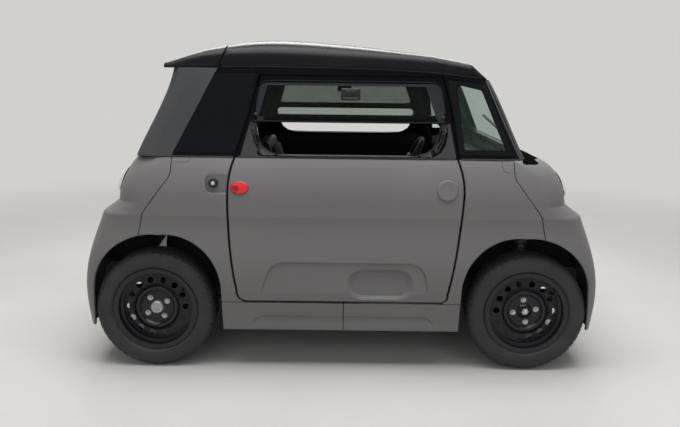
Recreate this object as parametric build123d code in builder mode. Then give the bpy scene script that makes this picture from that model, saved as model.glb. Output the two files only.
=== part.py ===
from build123d import *
import os
from math import radians, sin, cos

# A two-seat electric microcar, in millimetres: +X to its front, +Y to its left, +Z up,
# origin on the ground under the middle of its length and width.

# ---- driving sizes ----
LENGTH = 2410.0
WIDTH = 1390.0
HEIGHT = 1520.0
WHEELBASE = 1728.0
TRACK = 1150.0
BELT = 992.0                # height of the belt line, where the black upper part starts
ROOF_EDGE = 1385.0          # height of the roof's lower edge
LEDGE_LOW = 730.0           # the nose's and tail's sloping ledge
LEDGE_HIGH = 790.0
LEDGE_SEAM = 738.0
WALL = 38.0                 # whole thickness of a body side, skin to inner trim
SKIN = 10.0                 # thickness of the flange round the door's edge
SEAM = 3.0                  # gap between two fixed panels
DOOR_GAP = 10.0             # gap round a door
DOOR_HEAD = 1352.0
DOOR_HEAD_GAP = 8.0
FIT = 0.3                   # clearance of a piece in its seat
GLASS = 5.0
GLASS_SETBACK = 2.0
GLASS_GAP = 1.5
HALF_LENGTH = LENGTH / 2
HALF_WIDTH = WIDTH / 2
AXLE = WHEELBASE / 2
WHEEL_Y = TRACK / 2
OUT = HALF_WIDTH + 60       # well outside the car's side
DEEP = 100.0                # well inside it

# ---- plan sections of the body: rounded rectangles, lofted upward ----
# columns: height, tuck of the front end, tuck of the rear end, tuck of the side, corner radius
LOWER_ROWS = (
    (190.0, 15.0, 15.0, 43.0, 120.0),
    (340.0, 0.0, 0.0, 15.0, 145.0),
    (480.0, 15.0, 15.0, 0.0, 150.0),
    (620.0, 55.0, 55.0, 11.0, 150.0),
    (LEDGE_LOW, 97.0, 97.0, 14.0, 150.0),
)
LEDGE_ROWS = (
    (LEDGE_LOW, 97.0, 97.0, 14.0, 150.0),
    (LEDGE_HIGH, 178.0, 178.0, 16.0, 130.0),
)
UPPER_ROWS = (
    (LEDGE_HIGH, 178.0, 178.0, 16.0, 130.0),
    (870.0, 194.0, 194.0, 24.0, 130.0),
    (940.0, 228.0, 226.0, 42.0, 140.0),
    (BELT, 300.0, 262.0, 63.0, 150.0),
)
GREENHOUSE_ROWS = (
    (BELT, 373.0, 262.0, 63.0, 90.0),
    (1120.0, 434.0, 322.0, 90.0, 90.0),
    (1260.0, 498.0, 390.0, 110.0, 90.0),
    (ROOF_EDGE, 570.0, 430.0, 132.0, 90.0),
)
# columns: x, half width at the roof's edge, fall of the crown under the roof's top
ROOF_ROWS = (
    (650.0, 545.0, 118.0),
    (400.0, 560.0, 64.0),
    (0.0, 563.0, 19.0),
    (-360.0, 563.0, 2.0),
    (-620.0, 556.0, 42.0),
    (-810.0, 535.0, 112.0),
)
# the roof's lower edge in side view, falling towards the nose
ROOF_LINE = ((0.0, ROOF_EDGE), (200.0, 1381.0), (400.0, 1371.0), (640.0, 1347.0), (800.0, 1330.0))
ROOF_WALL = 26.0

FINISHED = {}


# ---- small helpers ----
def plan_loft(rows, inset=0.0, drop=0.0):
    with BuildPart() as block:
        for height, front_tuck, rear_tuck, side_tuck, corner in rows:
            front = HALF_LENGTH - front_tuck - inset
            rear = -HALF_LENGTH + rear_tuck + inset
            width = 2 * (HALF_WIDTH - side_tuck - inset)
            with BuildSketch(Plane.XY.offset(height - drop)):
                with Locations(((front + rear) / 2, 0)):
                    RectangleRounded(front - rear, width, corner - inset)
        loft(ruled=len(rows) == 2)
    return block.part


def lower_block(inset=0.0, drop=0.0):
    with BuildPart() as block:
        for rows in (LOWER_ROWS, LEDGE_ROWS, UPPER_ROWS):
            add(plan_loft(rows, inset, drop))
    return block.part


def joined(*shapes):
    with BuildPart() as block:
        for shape in shapes:
            add(shape)
    return block.part


def cut(shape, *tools):
    with BuildPart() as block:
        add(shape)
        for tool in tools:
            add(tool, mode=Mode.SUBTRACT)
    return block.part


def kept(shape, *tools):
    with BuildPart() as block:
        add(shape)
        for tool in tools:
            add(tool, mode=Mode.INTERSECT)
    return block.part


def box_between(low, high):
    with BuildPart() as block:
        with Locations(tuple((a + b) / 2 for a, b in zip(low, high))):
            Box(*(b - a for a, b in zip(low, high)))
    return block.part


def polygon(*points):
    with BuildSketch() as face:
        with BuildLine():
            Polyline(*points, close=True)
        make_face()
    return face.sketch


def rounded(points, radius):
    with BuildSketch() as face:
        with BuildLine():
            FilletPolyline(*points, radius=radius, close=True)
        make_face()
    return face.sketch


def side_solid(face, inner=DEEP, outer=OUT):
    # a side-view face pushed through the right side of the car
    with BuildPart() as block:
        with BuildSketch(Plane.XZ.offset(inner)):
            add(face)
        extrude(amount=outer - inner)
    return block.part


def front_solid(face, x_near, x_far):
    # a front-view face of (y, z) pushed along the car
    with BuildPart() as block:
        with BuildSketch(Plane.YZ.offset(x_near)):
            add(face)
        extrude(amount=x_far - x_near)
    return block.part


def rod(plane, low, high, radius):
    with BuildPart() as block:
        with BuildSketch(plane.offset(low)):
            Circle(radius)
        extrude(amount=high - low)
    return block.part


def left_of(shape):
    return shape.mirror(Plane.XZ)


def rear_of(shape):
    return shape.mirror(Plane.YZ)


def both_sides(*shapes):
    return joined(*shapes, *(left_of(shape) for shape in shapes))


def save(shape, name):
    shape.label = name
    export_step(shape, f"parts/{name}.step")
    FINISHED[name] = shape


os.makedirs("parts", exist_ok=True)

# ---- doors: the left one is the right one after half a turn ----
DOOR_TURN_X = 20.0
DOOR_SILL = 335.0
HINGE_X = 620.0
HINGE_Y = 645.0
SILL_TOP = DOOR_SILL - DOOR_GAP / 2


def turned(shape):
    return shape.rotate(Axis((DOOR_TURN_X, 0, 0), (0, 0, 1)), 180)


def door_face(grow=0.0, head=DOOR_HEAD):
    # the door's outline in side view, its sides and foot moved outward by grow
    foot = DOOR_SILL - grow
    slant = 0.7 * grow
    with BuildSketch() as face:
        with BuildLine():
            ThreePointArc((-373 - grow, head), (-416 - grow, 1200), (-481 - grow, 1002))
            ThreePointArc((-481 - grow, 1002), (-506 - grow, 920), (-514 - grow, 832))
            ThreePointArc((-514 - grow, 832), (-505 - grow, 580), (-478 - grow, 391))
            ThreePointArc((-478 - grow, 391), (-467 - slant, 352 - slant), (-430, foot))
            Line((-430, foot), (448, foot))
            ThreePointArc((448, foot), (476 + slant, 346 - slant), (486 + grow, 380))
            ThreePointArc((486 + grow, 380), (524 + grow, 600), (545 + grow, 832))
            ThreePointArc((545 + grow, 832), (539 + grow, 912), (519 + grow, 983))
            ThreePointArc((519 + grow, 983), (483 + grow, 1190), (442 + grow, head))
            Line((442 + grow, head), (-373 - grow, head))
        make_face()
    return face.sketch


door_zone = side_solid(door_face(-DOOR_GAP / 2))
right_opening = side_solid(door_face(DOOR_GAP / 2, DOOR_HEAD + DOOR_HEAD_GAP))
openings = joined(right_opening, turned(right_opening))

# ---- wheel arches ----
ARCH_TOP = 643.0
LINER_OFFSET = 20.0
LINER = 4.0
LIP = 14.0                  # thickness of the body's lip round a wheel arch
LINER_INNER_Y = 355.0


def arch_face(grow=0.0):
    # the front arch in side view, grown outward; x is counted from the axle
    back, front, top, slant = -grow, grow, ARCH_TOP + grow, 0.7 * grow
    with BuildSketch(mode=Mode.PRIVATE) as face:
        with BuildLine():
            Line((-318 + back, 100), (-315 + back, 394))
            ThreePointArc((-315 + back, 394), (-215 - slant, 592 + slant), (-32, top))
            ThreePointArc((-32, top), (178 + slant, 577 + slant), (272 + front, 406))
            Line((272 + front, 406), (300 + front, 100))
            Line((300 + front, 100), (-318 + back, 100))
        make_face()
    return face.sketch.moved(Location((AXLE, 0, 0)))


def four_corners(shape):
    pair = both_sides(shape)
    return joined(pair, rear_of(pair))


arches = four_corners(side_solid(arch_face(), LINER_INNER_Y))
wide_arch = side_solid(arch_face(LINER_OFFSET + LINER + FIT), LINER_INNER_Y - 1)
tunnels = four_corners(kept(wide_arch, plan_loft(LOWER_ROWS, LIP)))

# ---- whole walls of the body ----
lower_hollow = lower_block(WALL, WALL)
cabin_well = box_between((-HALF_LENGTH + 262 + WALL, -HALF_WIDTH + 63 + WALL, BELT - 100),
                         (HALF_LENGTH - 373 - WALL, HALF_WIDTH - 63 - WALL, BELT + 1))
lower_walls = cut(lower_block(), lower_hollow, cabin_well)
body_walls = cut(lower_walls, arches, tunnels, openings)
upper_outside = plan_loft(GREENHOUSE_ROWS)
upper_walls = cut(upper_outside, plan_loft(GREENHOUSE_ROWS, WALL))
pane_depth = GLASS_SETBACK + GLASS
glass_layer = cut(plan_loft(GREENHOUSE_ROWS, GLASS_SETBACK), plan_loft(GREENHOUSE_ROWS, pane_depth))
rebate_layer = cut(upper_outside, plan_loft(GREENHOUSE_ROWS, pane_depth + FIT))

# ---- lamps, plate recess and towing sockets at both ends ----
LAMP_Y = 480.0
LAMP_Z = 853.0
LAMP_WIDTH = 132.0
LAMP_HEIGHT = 86.0
LAMP_CORNER = 30.0
LAMP_PROUD = 4.0
LAMP_DEPTH = 30.0
PLATE_WIDTH = 340.0
PLATE_HEIGHT = 112.0
PLATE_Z = 352.0
PLATE_FACE = HALF_LENGTH - 8.0
TOW_Y = 260.0
TOW_Z = 256.0
TOW_FACE = HALF_LENGTH - 85.0
TOW_HALF = 22.0
TOW_RADIUS = 8.0
TOW_DEPTH = 50.0
TOW_ACCESS = 19.0


def lamp_zone(grow=0.0):
    with BuildSketch() as face:
        with Locations((-LAMP_Y, LAMP_Z), (LAMP_Y, LAMP_Z)):
            RectangleRounded(LAMP_WIDTH + 2 * grow, LAMP_HEIGHT + 2 * grow, LAMP_CORNER + grow)
    return front_solid(face.sketch, 700, 1250)


lamps = kept(cut(plan_loft(UPPER_ROWS, -LAMP_PROUD), plan_loft(UPPER_ROWS, LAMP_DEPTH)), lamp_zone())
lamp_holes = lamp_zone(FIT)
plate_recess = box_between((PLATE_FACE, -PLATE_WIDTH / 2, PLATE_Z - PLATE_HEIGHT / 2),
                           (HALF_LENGTH + 10, PLATE_WIDTH / 2, PLATE_Z + PLATE_HEIGHT / 2))
tow_plane = Plane(origin=(0, -TOW_Y, TOW_Z), x_dir=(0, 1, 0), z_dir=(1, 0, 0))
tow_access = rod(tow_plane, TOW_FACE, HALF_LENGTH + 10, TOW_ACCESS)

# ---- fixed body panels ----
SEAM_LINE = ((766, 1000), (769, 915), (895, 745), (925, 610))
SEAM_ROUND = 70.0
half_seam = SEAM / 2


def beyond_seam(shift, away, foot):
    # side-view zone between the curved panel seam, moved by shift, and x = away, down to foot
    seam = [(x + shift, z) for x, z in SEAM_LINE]
    with BuildSketch() as face:
        with BuildLine():
            FilletPolyline(*seam, radius=SEAM_ROUND)
            Polyline(seam[-1], (seam[-1][0], foot), (away, foot), (away, seam[0][1]), seam[0])
        make_face()
    return face.sketch


end_zone = side_solid(beyond_seam(half_seam, HALF_LENGTH + 50, 100), -OUT, OUT)
quarter_zone = side_solid(beyond_seam(-half_seam, 20, SILL_TOP + half_seam))
high_zone = box_between((-1300, -OUT, LEDGE_SEAM + half_seam), (1300, OUT, BELT))
low_zone = box_between((-1300, -OUT, 100), (1300, OUT, LEDGE_SEAM - half_seam))

COWL_FRONT = 893.0
COWL_BACK = 834.0
COWL_HALF = 540.0
COWL_THICK = 10.0
cowl = box_between((COWL_BACK, -COWL_HALF, BELT - COWL_THICK), (COWL_FRONT, COWL_HALF, BELT))
cowl_pocket = box_between((COWL_BACK - FIT, -COWL_HALF - FIT, BELT - COWL_THICK - FIT),
                          (COWL_FRONT + FIT, COWL_HALF + FIT, BELT + 1))
front_end = kept(body_walls, end_zone)
rear_end = kept(body_walls, rear_of(end_zone))
save(cut(kept(front_end, low_zone), plate_recess, tow_access), "front_lower_shell")
save(cut(kept(rear_end, low_zone), rear_of(plate_recess), rear_of(tow_access)), "rear_lower_shell")
save(cut(kept(front_end, high_zone), lamp_holes, cowl_pocket), "front_upper_panel")
save(cut(kept(rear_end, high_zone), rear_of(lamp_holes)), "rear_upper_panel")
save(cowl, "cowl_tray")
save(lamps, "headlamps")
save(rear_of(lamps), "tail_lamps")

# pockets in the front quarter for the door's hinges; columns: low, high
HINGE_LEVELS = ((664.0, 716.0), (815.0, 867.0))
EYE_RADIUS = 9.5
POCKET_ROOM = 5.5
POCKET_Y = HINGE_Y + EYE_RADIUS + POCKET_ROOM
POCKET_END = HINGE_X + EYE_RADIUS + POCKET_ROOM
hinge_pocket = joined(*(box_between((480, -POCKET_Y, low - POCKET_ROOM), (POCKET_END, -DEEP, high + POCKET_ROOM))
                        for low, high in HINGE_LEVELS))
# the lock's recess in the rear quarter, open towards the door
LOCK_X = -578.0
LOCK_Z = 878.0
LOCK_RADIUS = 17.0
LOCK_RECESS_Y = HALF_WIDTH - 36.0
lock_face = rounded(((-612, 836), (-480, 836), (-480, 920), (-612, 920)), 30)
lock_recess = side_solid(lock_face, LOCK_RECESS_Y)
lock_plane = Plane(origin=(LOCK_X, -LOCK_RECESS_Y, LOCK_Z), x_dir=(1, 0, 0), z_dir=(0, -1, 0))
lock_barrel = rod(lock_plane, FIT, 12, LOCK_RADIUS)
right_front = kept(body_walls, quarter_zone)
right_rear = kept(body_walls, rear_of(quarter_zone))
left_front = kept(body_walls, left_of(quarter_zone))
left_rear = kept(body_walls, left_of(rear_of(quarter_zone)))
save(cut(right_front, hinge_pocket), "right_front_quarter")
save(cut(right_rear, lock_recess), "right_rear_quarter")
save(cut(left_front, turned(lock_recess)), "left_front_quarter")
save(cut(left_rear, turned(hinge_pocket)), "left_rear_quarter")
save(joined(lock_barrel, turned(lock_barrel)), "door_locks")

SILL_SPLIT = 11.0
SILL_CREASE = 262.0
SILL_STEP_Y = HALF_WIDTH - 40.0
sill_zone = joined(box_between((SILL_SPLIT + half_seam, -OUT, 100), (AXLE, -DEEP, SILL_TOP - half_seam)),
                   box_between((-AXLE, -OUT, 100), (SILL_SPLIT - half_seam, -DEEP, SILL_TOP - half_seam)))
sill_step = side_solid(rounded(((-430, 100), (-400, SILL_CREASE), (420, SILL_CREASE), (450, 100)), 60), SILL_STEP_Y)
right_sill = cut(kept(body_walls, sill_zone), sill_step)
save(right_sill, "right_sill")
save(left_of(right_sill), "left_sill")

# ---- greenhouse: frames, panes and roof ----
PANE_LOW = 1012.0
PANE_HIGH = 1368.0
SCREEN_HIGH = 1322.0
DOOR_SIDE_FRAME = 7.0


def screen_face(top, grow=0.0, low_trim=0.0, high_trim=0.0, side_trim=0.0):
    low, high = PANE_LOW - grow + low_trim, top + grow - high_trim
    half_low, half_high = 548 + grow - side_trim, 478 + grow - side_trim
    return rounded(((-half_low, low), (half_low, low), (half_high, high), (-half_high, high)), 25)


def front_quarter_face(grow):
    low = PANE_LOW - grow
    return polygon((380, 1354 + grow), (636 + grow, 1326 + grow), (772 + grow, low), (380, low))


def rear_quarter_face(grow):
    low = PANE_LOW - grow
    return polygon((-300, PANE_HIGH + grow), (-574 - grow, 1364 + grow), (-762 - grow, low), (-300, low))


def pane_zones(grow):
    front, rear = front_quarter_face(grow), rear_quarter_face(grow)
    rim = side_solid(door_face(DOOR_GAP / 2 + DOOR_SIDE_FRAME - grow, ROOF_EDGE + 10))
    sides = cut(both_sides(side_solid(front), side_solid(rear)), rim, turned(rim))
    front_screen = front_solid(screen_face(SCREEN_HIGH, grow), 500, 1000)
    return joined(front_screen, front_solid(screen_face(PANE_HIGH, grow), -600, -1000)), sides


screens, side_panes = pane_zones(0.0)
screen_rebates, side_rebates = pane_zones(GLASS_GAP)
windscreen_hole = front_solid(screen_face(SCREEN_HIGH, 0, 24, 16, 28), 400, 1000)
rear_hole = front_solid(screen_face(PANE_HIGH, 0, 40, 22, 42), -450, -1000)
quarter_holes = both_sides(
    side_solid(rounded(((508, 1326), (622, 1302), (738, 1030), (548, 1030)), 16)),
    side_solid(rounded(((-452, 1331), (-548, 1322), (-698, 1045), (-522, 1045)), 16)))
screen_glass = kept(glass_layer, screens)
front_half = box_between((0, -OUT, 900), (1300, OUT, 1500))
save(kept(screen_glass, front_half), "windscreen")
save(kept(screen_glass, rear_of(front_half)), "rear_window")
save(kept(glass_layer, side_panes), "quarter_glass")
roof_zone = side_solid(polygon(*ROOF_LINE, (900, 1500), (0, 1500)), -OUT, OUT)
frames = cut(upper_walls, kept(rebate_layer, screen_rebates), kept(rebate_layer, side_rebates),
             windscreen_hole, rear_hole, quarter_holes, openings, roof_zone)
save(kept(frames, front_half), "windscreen_frame")
save(kept(frames, rear_of(front_half)), "rear_window_frame")


def roof_block(rows, inset=0.0):
    # cross sections of a sloping side and a crowned top, lofted along the car
    with BuildPart() as block:
        for x, half, fall in rows:
            edge, foot, top = half - inset, ROOF_EDGE - inset / 10, HEIGHT - fall - inset
            lean, shoulder = 0.2 * (top - ROOF_EDGE), top - 0.15 * (top - ROOF_EDGE)
            with BuildSketch(Plane.YZ.offset(x)):
                with BuildLine():
                    Polyline((-edge + lean, shoulder), (-edge, foot), (edge, foot), (edge - lean, shoulder))
                    ThreePointArc((edge - lean, shoulder), (0, top), (-edge + lean, shoulder))
                make_face()
        loft()
    return block.part


hollow_rows = ((ROOF_ROWS[0][0] - 2.2 * ROOF_WALL, ROOF_ROWS[0][1], ROOF_ROWS[0][2] - 16),) + ROOF_ROWS[1:-1]
roof_front = side_solid(polygon((-1000, ROOF_EDGE - 5), (640, ROOF_EDGE - 5), (580, ROOF_EDGE + 95), (580, HEIGHT + 20),
                                (-1000, HEIGHT + 20)), -OUT, OUT)
roof_cap = kept(cut(roof_block(ROOF_ROWS), roof_block(hollow_rows, ROOF_WALL)), roof_front)
save(joined(roof_cap, kept(upper_walls, roof_zone)), "roof_panel")

# ---- door pieces ----
SPLIT_LOW = 1152.0          # the bar between the fixed upper pane and the open lower half
SPLIT_HIGH = 1170.0
PANE_LAP = 14.0
DOOR_RELIEF = 14.0
DISC_X = 483.0
DISC_Z = 860.0
DISC_RADIUS = 55.0
DISC_LEAN = 8.0
DISC_PROUD = 5.0
DISC_SKIN_Y = 664.0
CREASE_Z = 524.0
CREASE_Y = HALF_WIDTH - 8.0
OVAL_X = 178.0
OVAL_Z = 421.0
OVAL_FLOOR_Y = HALF_WIDTH - 26.0
ARM = 13.0
PIN_RADIUS = 5.0
ARM_REACH = 88.0
ARM_BACK = 118.0
EAR = 8.0


def upper_pane(grow=0.0):
    return rounded(((-404 - grow, SPLIT_HIGH - grow), (-374 - grow, 1328 + grow), (436 + grow, 1328 + grow),
                    (468 + grow, SPLIT_HIGH - grow)), 40)


def stadium(length, height):
    with BuildSketch() as face:
        with Locations((OVAL_X, OVAL_Z)):
            RectangleRounded(length, height, height / 2 - 4)
    return face.sketch


def hinge_arm(low, high):
    # seen from above: from the pin inward, rearward, and out into the door's wall
    inner, outer = -HINGE_Y + ARM_REACH - ARM / 2, -HINGE_Y + ARM_REACH + ARM / 2
    near, far = HINGE_X - ARM_BACK + ARM / 2, HINGE_X - ARM_BACK - ARM / 2
    with BuildPart() as arm:
        with BuildSketch(Plane.XY.offset(low + EAR + FIT)):
            add(polygon((HINGE_X - ARM / 2, -HINGE_Y), (HINGE_X - ARM / 2, inner), (near, inner),
                        (near, -HINGE_Y - 6), (far, -HINGE_Y - 6), (far, outer), (HINGE_X + ARM / 2, outer),
                        (HINGE_X + ARM / 2, -HINGE_Y)))
            with Locations((HINGE_X, -HINGE_Y)):
                Circle(EYE_RADIUS)
                Circle(PIN_RADIUS + FIT, mode=Mode.SUBTRACT)
        extrude(amount=high - low - 2 * (EAR + FIT))
    return arm.part


def hinge_bracket(low, high):
    # a block on the quarter's inner face, with two ears in the pocket and the pin between them
    block = box_between((POCKET_END + FIT, -HINGE_Y - 20, low), (POCKET_END + 40, -HINGE_Y + 30, high))
    inside = kept(block, lower_block(WALL + FIT, WALL + FIT))
    ears = joined(*(box_between((HINGE_X, -HINGE_Y - EYE_RADIUS, z), (POCKET_END - FIT, -HINGE_Y + 30, z + EAR))
                    for z in (low, high - EAR)),
                  *(rod(Plane.XY.move(Location((HINGE_X, -HINGE_Y, 0))), z, z + EAR, EYE_RADIUS)
                    for z in (low, high - EAR)),
                  *(box_between((POCKET_END - 1, -HINGE_Y + 22, z), (POCKET_END + 1, -HINGE_Y + 30, z + EAR))
                    for z in (low, high - EAR)))
    pin = rod(Plane.XY.move(Location((HINGE_X, -HINGE_Y, 0))), low, high, PIN_RADIUS)
    return joined(inside, ears, pin)


lower_hole = rounded(((-392, SPLIT_LOW), (-372, 1004), (418, 1004), (444, SPLIT_LOW)), 30)
door_rim = cut(door_zone, side_solid(door_face(-DOOR_GAP / 2 - DOOR_RELIEF)))
inner_rim = kept(door_rim, lower_block(SKIN))
crease_zone = side_solid(rounded(((-392, 300), (-322, CREASE_Z), (372, CREASE_Z), (412, 300)), 80), CREASE_Y)
with BuildPart() as oval:
    with BuildSketch(Plane.XZ.offset(OVAL_FLOOR_Y)):
        add(stadium(252, 108))
    with BuildSketch(Plane.XZ.offset(HALF_WIDTH)):
        add(stadium(322, 168))
    loft()
disc_plane = Plane(origin=(DISC_X, -DISC_SKIN_Y, DISC_Z), x_dir=(1, 0, 0),
                   z_dir=(0, -cos(radians(DISC_LEAN)), sin(radians(DISC_LEAN))))
door_whole = kept(lower_walls, door_zone)
door_skin = cut(door_whole, inner_rim, crease_zone, oval.part)
door_skin = joined(door_skin, rod(disc_plane, -12, DISC_PROUD, DISC_RADIUS), *(hinge_arm(*row) for row in HINGE_LEVELS))
door_frame = cut(kept(upper_walls, door_zone), side_solid(upper_pane(-PANE_LAP)), side_solid(lower_hole),
                 kept(rebate_layer, side_solid(upper_pane(GLASS_GAP))))
door_shell = joined(door_skin, door_frame)
door_glass = kept(glass_layer, side_solid(upper_pane()))

# the lower pane, turned up over the upper one, on two hinge pads by the split bar
FLAP_GAP = 4.0
FLAP_THICK = 4.0
PAD_WIDTH = 28.0
flap_outside = plan_loft(GREENHOUSE_ROWS, -FLAP_GAP - FLAP_THICK)
flap = kept(cut(flap_outside, plan_loft(GREENHOUSE_ROWS, -FLAP_GAP)), side_solid(upper_pane(-4)))
pad_zone = joined(*(side_solid(polygon((x, 1156), (x + PAD_WIDTH, 1156), (x + PAD_WIDTH, 1176 + 12), (x, 1176 + 12)))
                    for x in (-385, 422)))
pads = kept(cut(flap_outside, plan_loft(GREENHOUSE_ROWS, -FIT)), pad_zone)
flap = joined(flap, pads)
DOOR_PIECES = ((door_shell, "door"), (door_glass, "door_glass"), (flap, "window_flap"))
for piece, name in DOOR_PIECES:
    save(piece, f"right_{name}")
    save(turned(piece), f"left_{name}")
brackets = joined(*(hinge_bracket(*row) for row in HINGE_LEVELS))
save(joined(brackets, turned(brackets)), "door_hinges")

# ---- kingpin axis: everything that a front wheel is steered by lies on it ----
TYRE_RADIUS = 278.5
KINGPIN_Y = 515.0
KINGPIN_LEAN = 12.0
kingpin = Plane(origin=(AXLE, -KINGPIN_Y, TYRE_RADIUS), x_dir=(1, 0, 0),
                z_dir=(0, sin(radians(KINGPIN_LEAN)), cos(radians(KINGPIN_LEAN))))
BALL_TOP = -62.0
BALL_SEAT = -92.0
BALL_RADIUS = 8.0
STRUT_TOP = 402.0
STRUT_PIN = 12.0
STRUT_RADIUS = 22.0
BOOT_RADIUS = 30.0

# ---- wheel arch liners ----
liner_section = cut(side_solid(arch_face(LINER_OFFSET + LINER), LINER_INNER_Y),
                    side_solid(arch_face(LINER_OFFSET), LINER_INNER_Y + LINER),
                    box_between((0, -OUT, 50), (1300, -DEEP, 196)))
arm_gap = box_between((0, -420, 100), (1300, -300, 430))
rear_liner = cut(kept(liner_section, plan_loft(LOWER_ROWS, LIP + FIT)), arm_gap)
front_liner = cut(rear_liner, rod(kingpin, STRUT_TOP - 40, STRUT_TOP + 20, STRUT_PIN + FIT))
save(joined(both_sides(front_liner), rear_of(both_sides(rear_liner))), "wheel_arch_liners")

# ---- chassis, floor and what they carry ----
RAIL_LOW = 160.0
RAIL_OUT = 290.0
RAIL_IN = 230.0
RAIL_END = 1090.0
FLOOR_LOW = 232.0
FLOOR = 8.0
FLOOR_END = 505.0
FOOTWELL_HALF = 345.0
FOOTWELL_END = 790.0
DECK_TOP = 620.0
DECK_END = 1000.0
CROSS_HALF = 25.0
ARM_IN = RAIL_OUT + 10.0
ARM_PIVOT = 540.0
PIVOT_HALF = 30.0
PIVOT_TOP = 300.0
MOTOR_LOW = FLOOR_LOW + FIT
ON_FLOOR = FLOOR_LOW + FLOOR + FIT
BATTERY_TOP = 400.0
CROSS_X = (-1060, -560, -150, 480, 930, 1060)
rails = both_sides(box_between((-RAIL_END, -RAIL_OUT, RAIL_LOW), (RAIL_END, -RAIL_IN, FLOOR_LOW)),
                   box_between((-ARM_PIVOT - PIVOT_HALF, -ARM_IN + FIT, RAIL_LOW + 40),
                               (-ARM_PIVOT + PIVOT_HALF, -RAIL_IN, PIVOT_TOP)))
crossbars = joined(*(box_between((x - CROSS_HALF, -RAIL_OUT, RAIL_LOW + 10), (x + CROSS_HALF, RAIL_OUT, FLOOR_LOW))
                     for x in CROSS_X))
tow_boss = box_between((RAIL_END - 60, -TOW_Y - TOW_HALF, FLOOR_LOW), (TOW_FACE, -TOW_Y + TOW_HALF, TOW_Z + TOW_HALF))
tow_boss = cut(tow_boss, rod(tow_plane, TOW_FACE - TOW_DEPTH, TOW_FACE + 1, TOW_RADIUS))
save(joined(rails, crossbars, tow_boss, rear_of(tow_boss)), "chassis_frame")
cabin_plate = kept(box_between((-FLOOR_END, -OUT, FLOOR_LOW), (FLOOR_END, OUT, FLOOR_LOW + FLOOR)),
                   plan_loft(LOWER_ROWS, WALL + FIT, WALL))
floor_boxes = (
    ((FLOOR_END - 5, FLOOR_LOW), (FOOTWELL_END, FLOOR_LOW + FLOOR)),
    ((FOOTWELL_END - FLOOR, FLOOR_LOW), (FOOTWELL_END, 780)),
    ((-FLOOR_END, FLOOR_LOW), (-FLOOR_END + FLOOR, DECK_TOP)),
    ((-DECK_END, DECK_TOP - FLOOR), (-FLOOR_END + FLOOR, DECK_TOP)),
)
pan_parts = [box_between((x0, -FOOTWELL_HALF, z0), (x1, FOOTWELL_HALF, z1)) for (x0, z0), (x1, z1) in floor_boxes]
save(joined(cabin_plate, *pan_parts), "floor_pan")
save(box_between((-400, -450, ON_FLOOR), (-60, -60, BATTERY_TOP)), "battery_pack")
save(box_between((800, -150, MOTOR_LOW), (1030, 150, 460)), "drive_motor")

# ---- seats ----
SEAT_LOW = BATTERY_TOP + FIT
SEAT_HALF = 230.0


def seat(x, y):
    profile = rounded(((x - 400, SEAT_LOW), (x + 60, SEAT_LOW), (x + 85, 505), (x - 325, 485), (x - 462, 1000),
                       (x - 545, 980)), 24)
    return side_solid(profile, -y - SEAT_HALF, -y + SEAT_HALF)


pedestal = box_between((-300, 150, ON_FLOOR), (20, 390, SEAT_LOW + 10))
save(seat(20, -270), "right_seat")
save(joined(seat(60, 270), pedestal), "left_seat")

# ---- dashboard, column, steering wheel ----
DASH_FRONT = FOOTWELL_END - FLOOR - FIT
DASH_LOW = 700.0
DASH_HIGH = 945.0
DASH_HALF = 540.0
WING_BACK = HINGE_X + 65.0
STEER_X = 380.0
STEER_Y = 270.0
STEER_Z = 850.0
COLUMN_TILT = 25.0
COLUMN_RADIUS = 24.0
STEER_RIM = 165.0
STEER_TUBE = 13.0
HUB_HALF = 12.0
dash_face = polygon((DASH_FRONT, DASH_LOW), (560, DASH_LOW), (520, 820), (560, 930), (DASH_FRONT, DASH_HIGH))
wings = kept(box_between((WING_BACK, -OUT, DASH_LOW), (DASH_FRONT, OUT, DASH_HIGH)),
             lower_block(WALL + FIT, WALL + FIT))
dashboard = joined(side_solid(dash_face, -DASH_HALF, DASH_HALF), wings)
column_plane = Plane(origin=(STEER_X, STEER_Y, STEER_Z), x_dir=(0, 1, 0),
                     z_dir=(-cos(radians(COLUMN_TILT)), 0, sin(radians(COLUMN_TILT))))
with BuildPart() as steering_wheel:
    with BuildSketch(Plane(origin=column_plane.origin, x_dir=column_plane.z_dir, z_dir=column_plane.y_dir)):
        with Locations((0, STEER_RIM)):
            Circle(STEER_TUBE)
    revolve(axis=Axis(column_plane.origin, column_plane.z_dir))
    add(rod(column_plane, -HUB_HALF, HUB_HALF, 55))
    with BuildSketch(column_plane.offset(-6)):
        Rectangle(2 * STEER_RIM, 34)
        with Locations((0, -STEER_RIM / 2)):
            Rectangle(34, STEER_RIM)
    extrude(amount=12)
save(steering_wheel.part, "steering_wheel")
save(dashboard, "dashboard")
save(cut(rod(column_plane, -220, -HUB_HALF - FIT, COLUMN_RADIUS), dashboard), "steering_column")

# ---- wheels: profiles of (distance out from the car's middle, radius), turned about the axle ----
TYRE_WIDTH = 155.0
RIM_RADIUS = 194.0
BEAD_RADIUS = 178.0
BEAD_IN = 54.0
BEAD_OUT = 60.0
DISC_OUT = 25.0
HOLE_RADIUS = 15.0
HOLE_CIRCLE = 131.0
HOLES = 14
RIM_SHEET = 5.0


def wheel_profile(points):
    with BuildPart() as block:
        with BuildSketch(Plane.XY):
            with BuildLine():
                Polyline(*((radius, -out) for out, radius in points), close=True)
            make_face()
        revolve(axis=Axis.Y)
    return block.part


def mirrored_profile(half):
    # a profile given from its inner edge to its middle, repeated outward
    return [(WHEEL_Y - out, r) for out, r in half] + [(WHEEL_Y + out, r) for out, r in reversed(half)]


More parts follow.
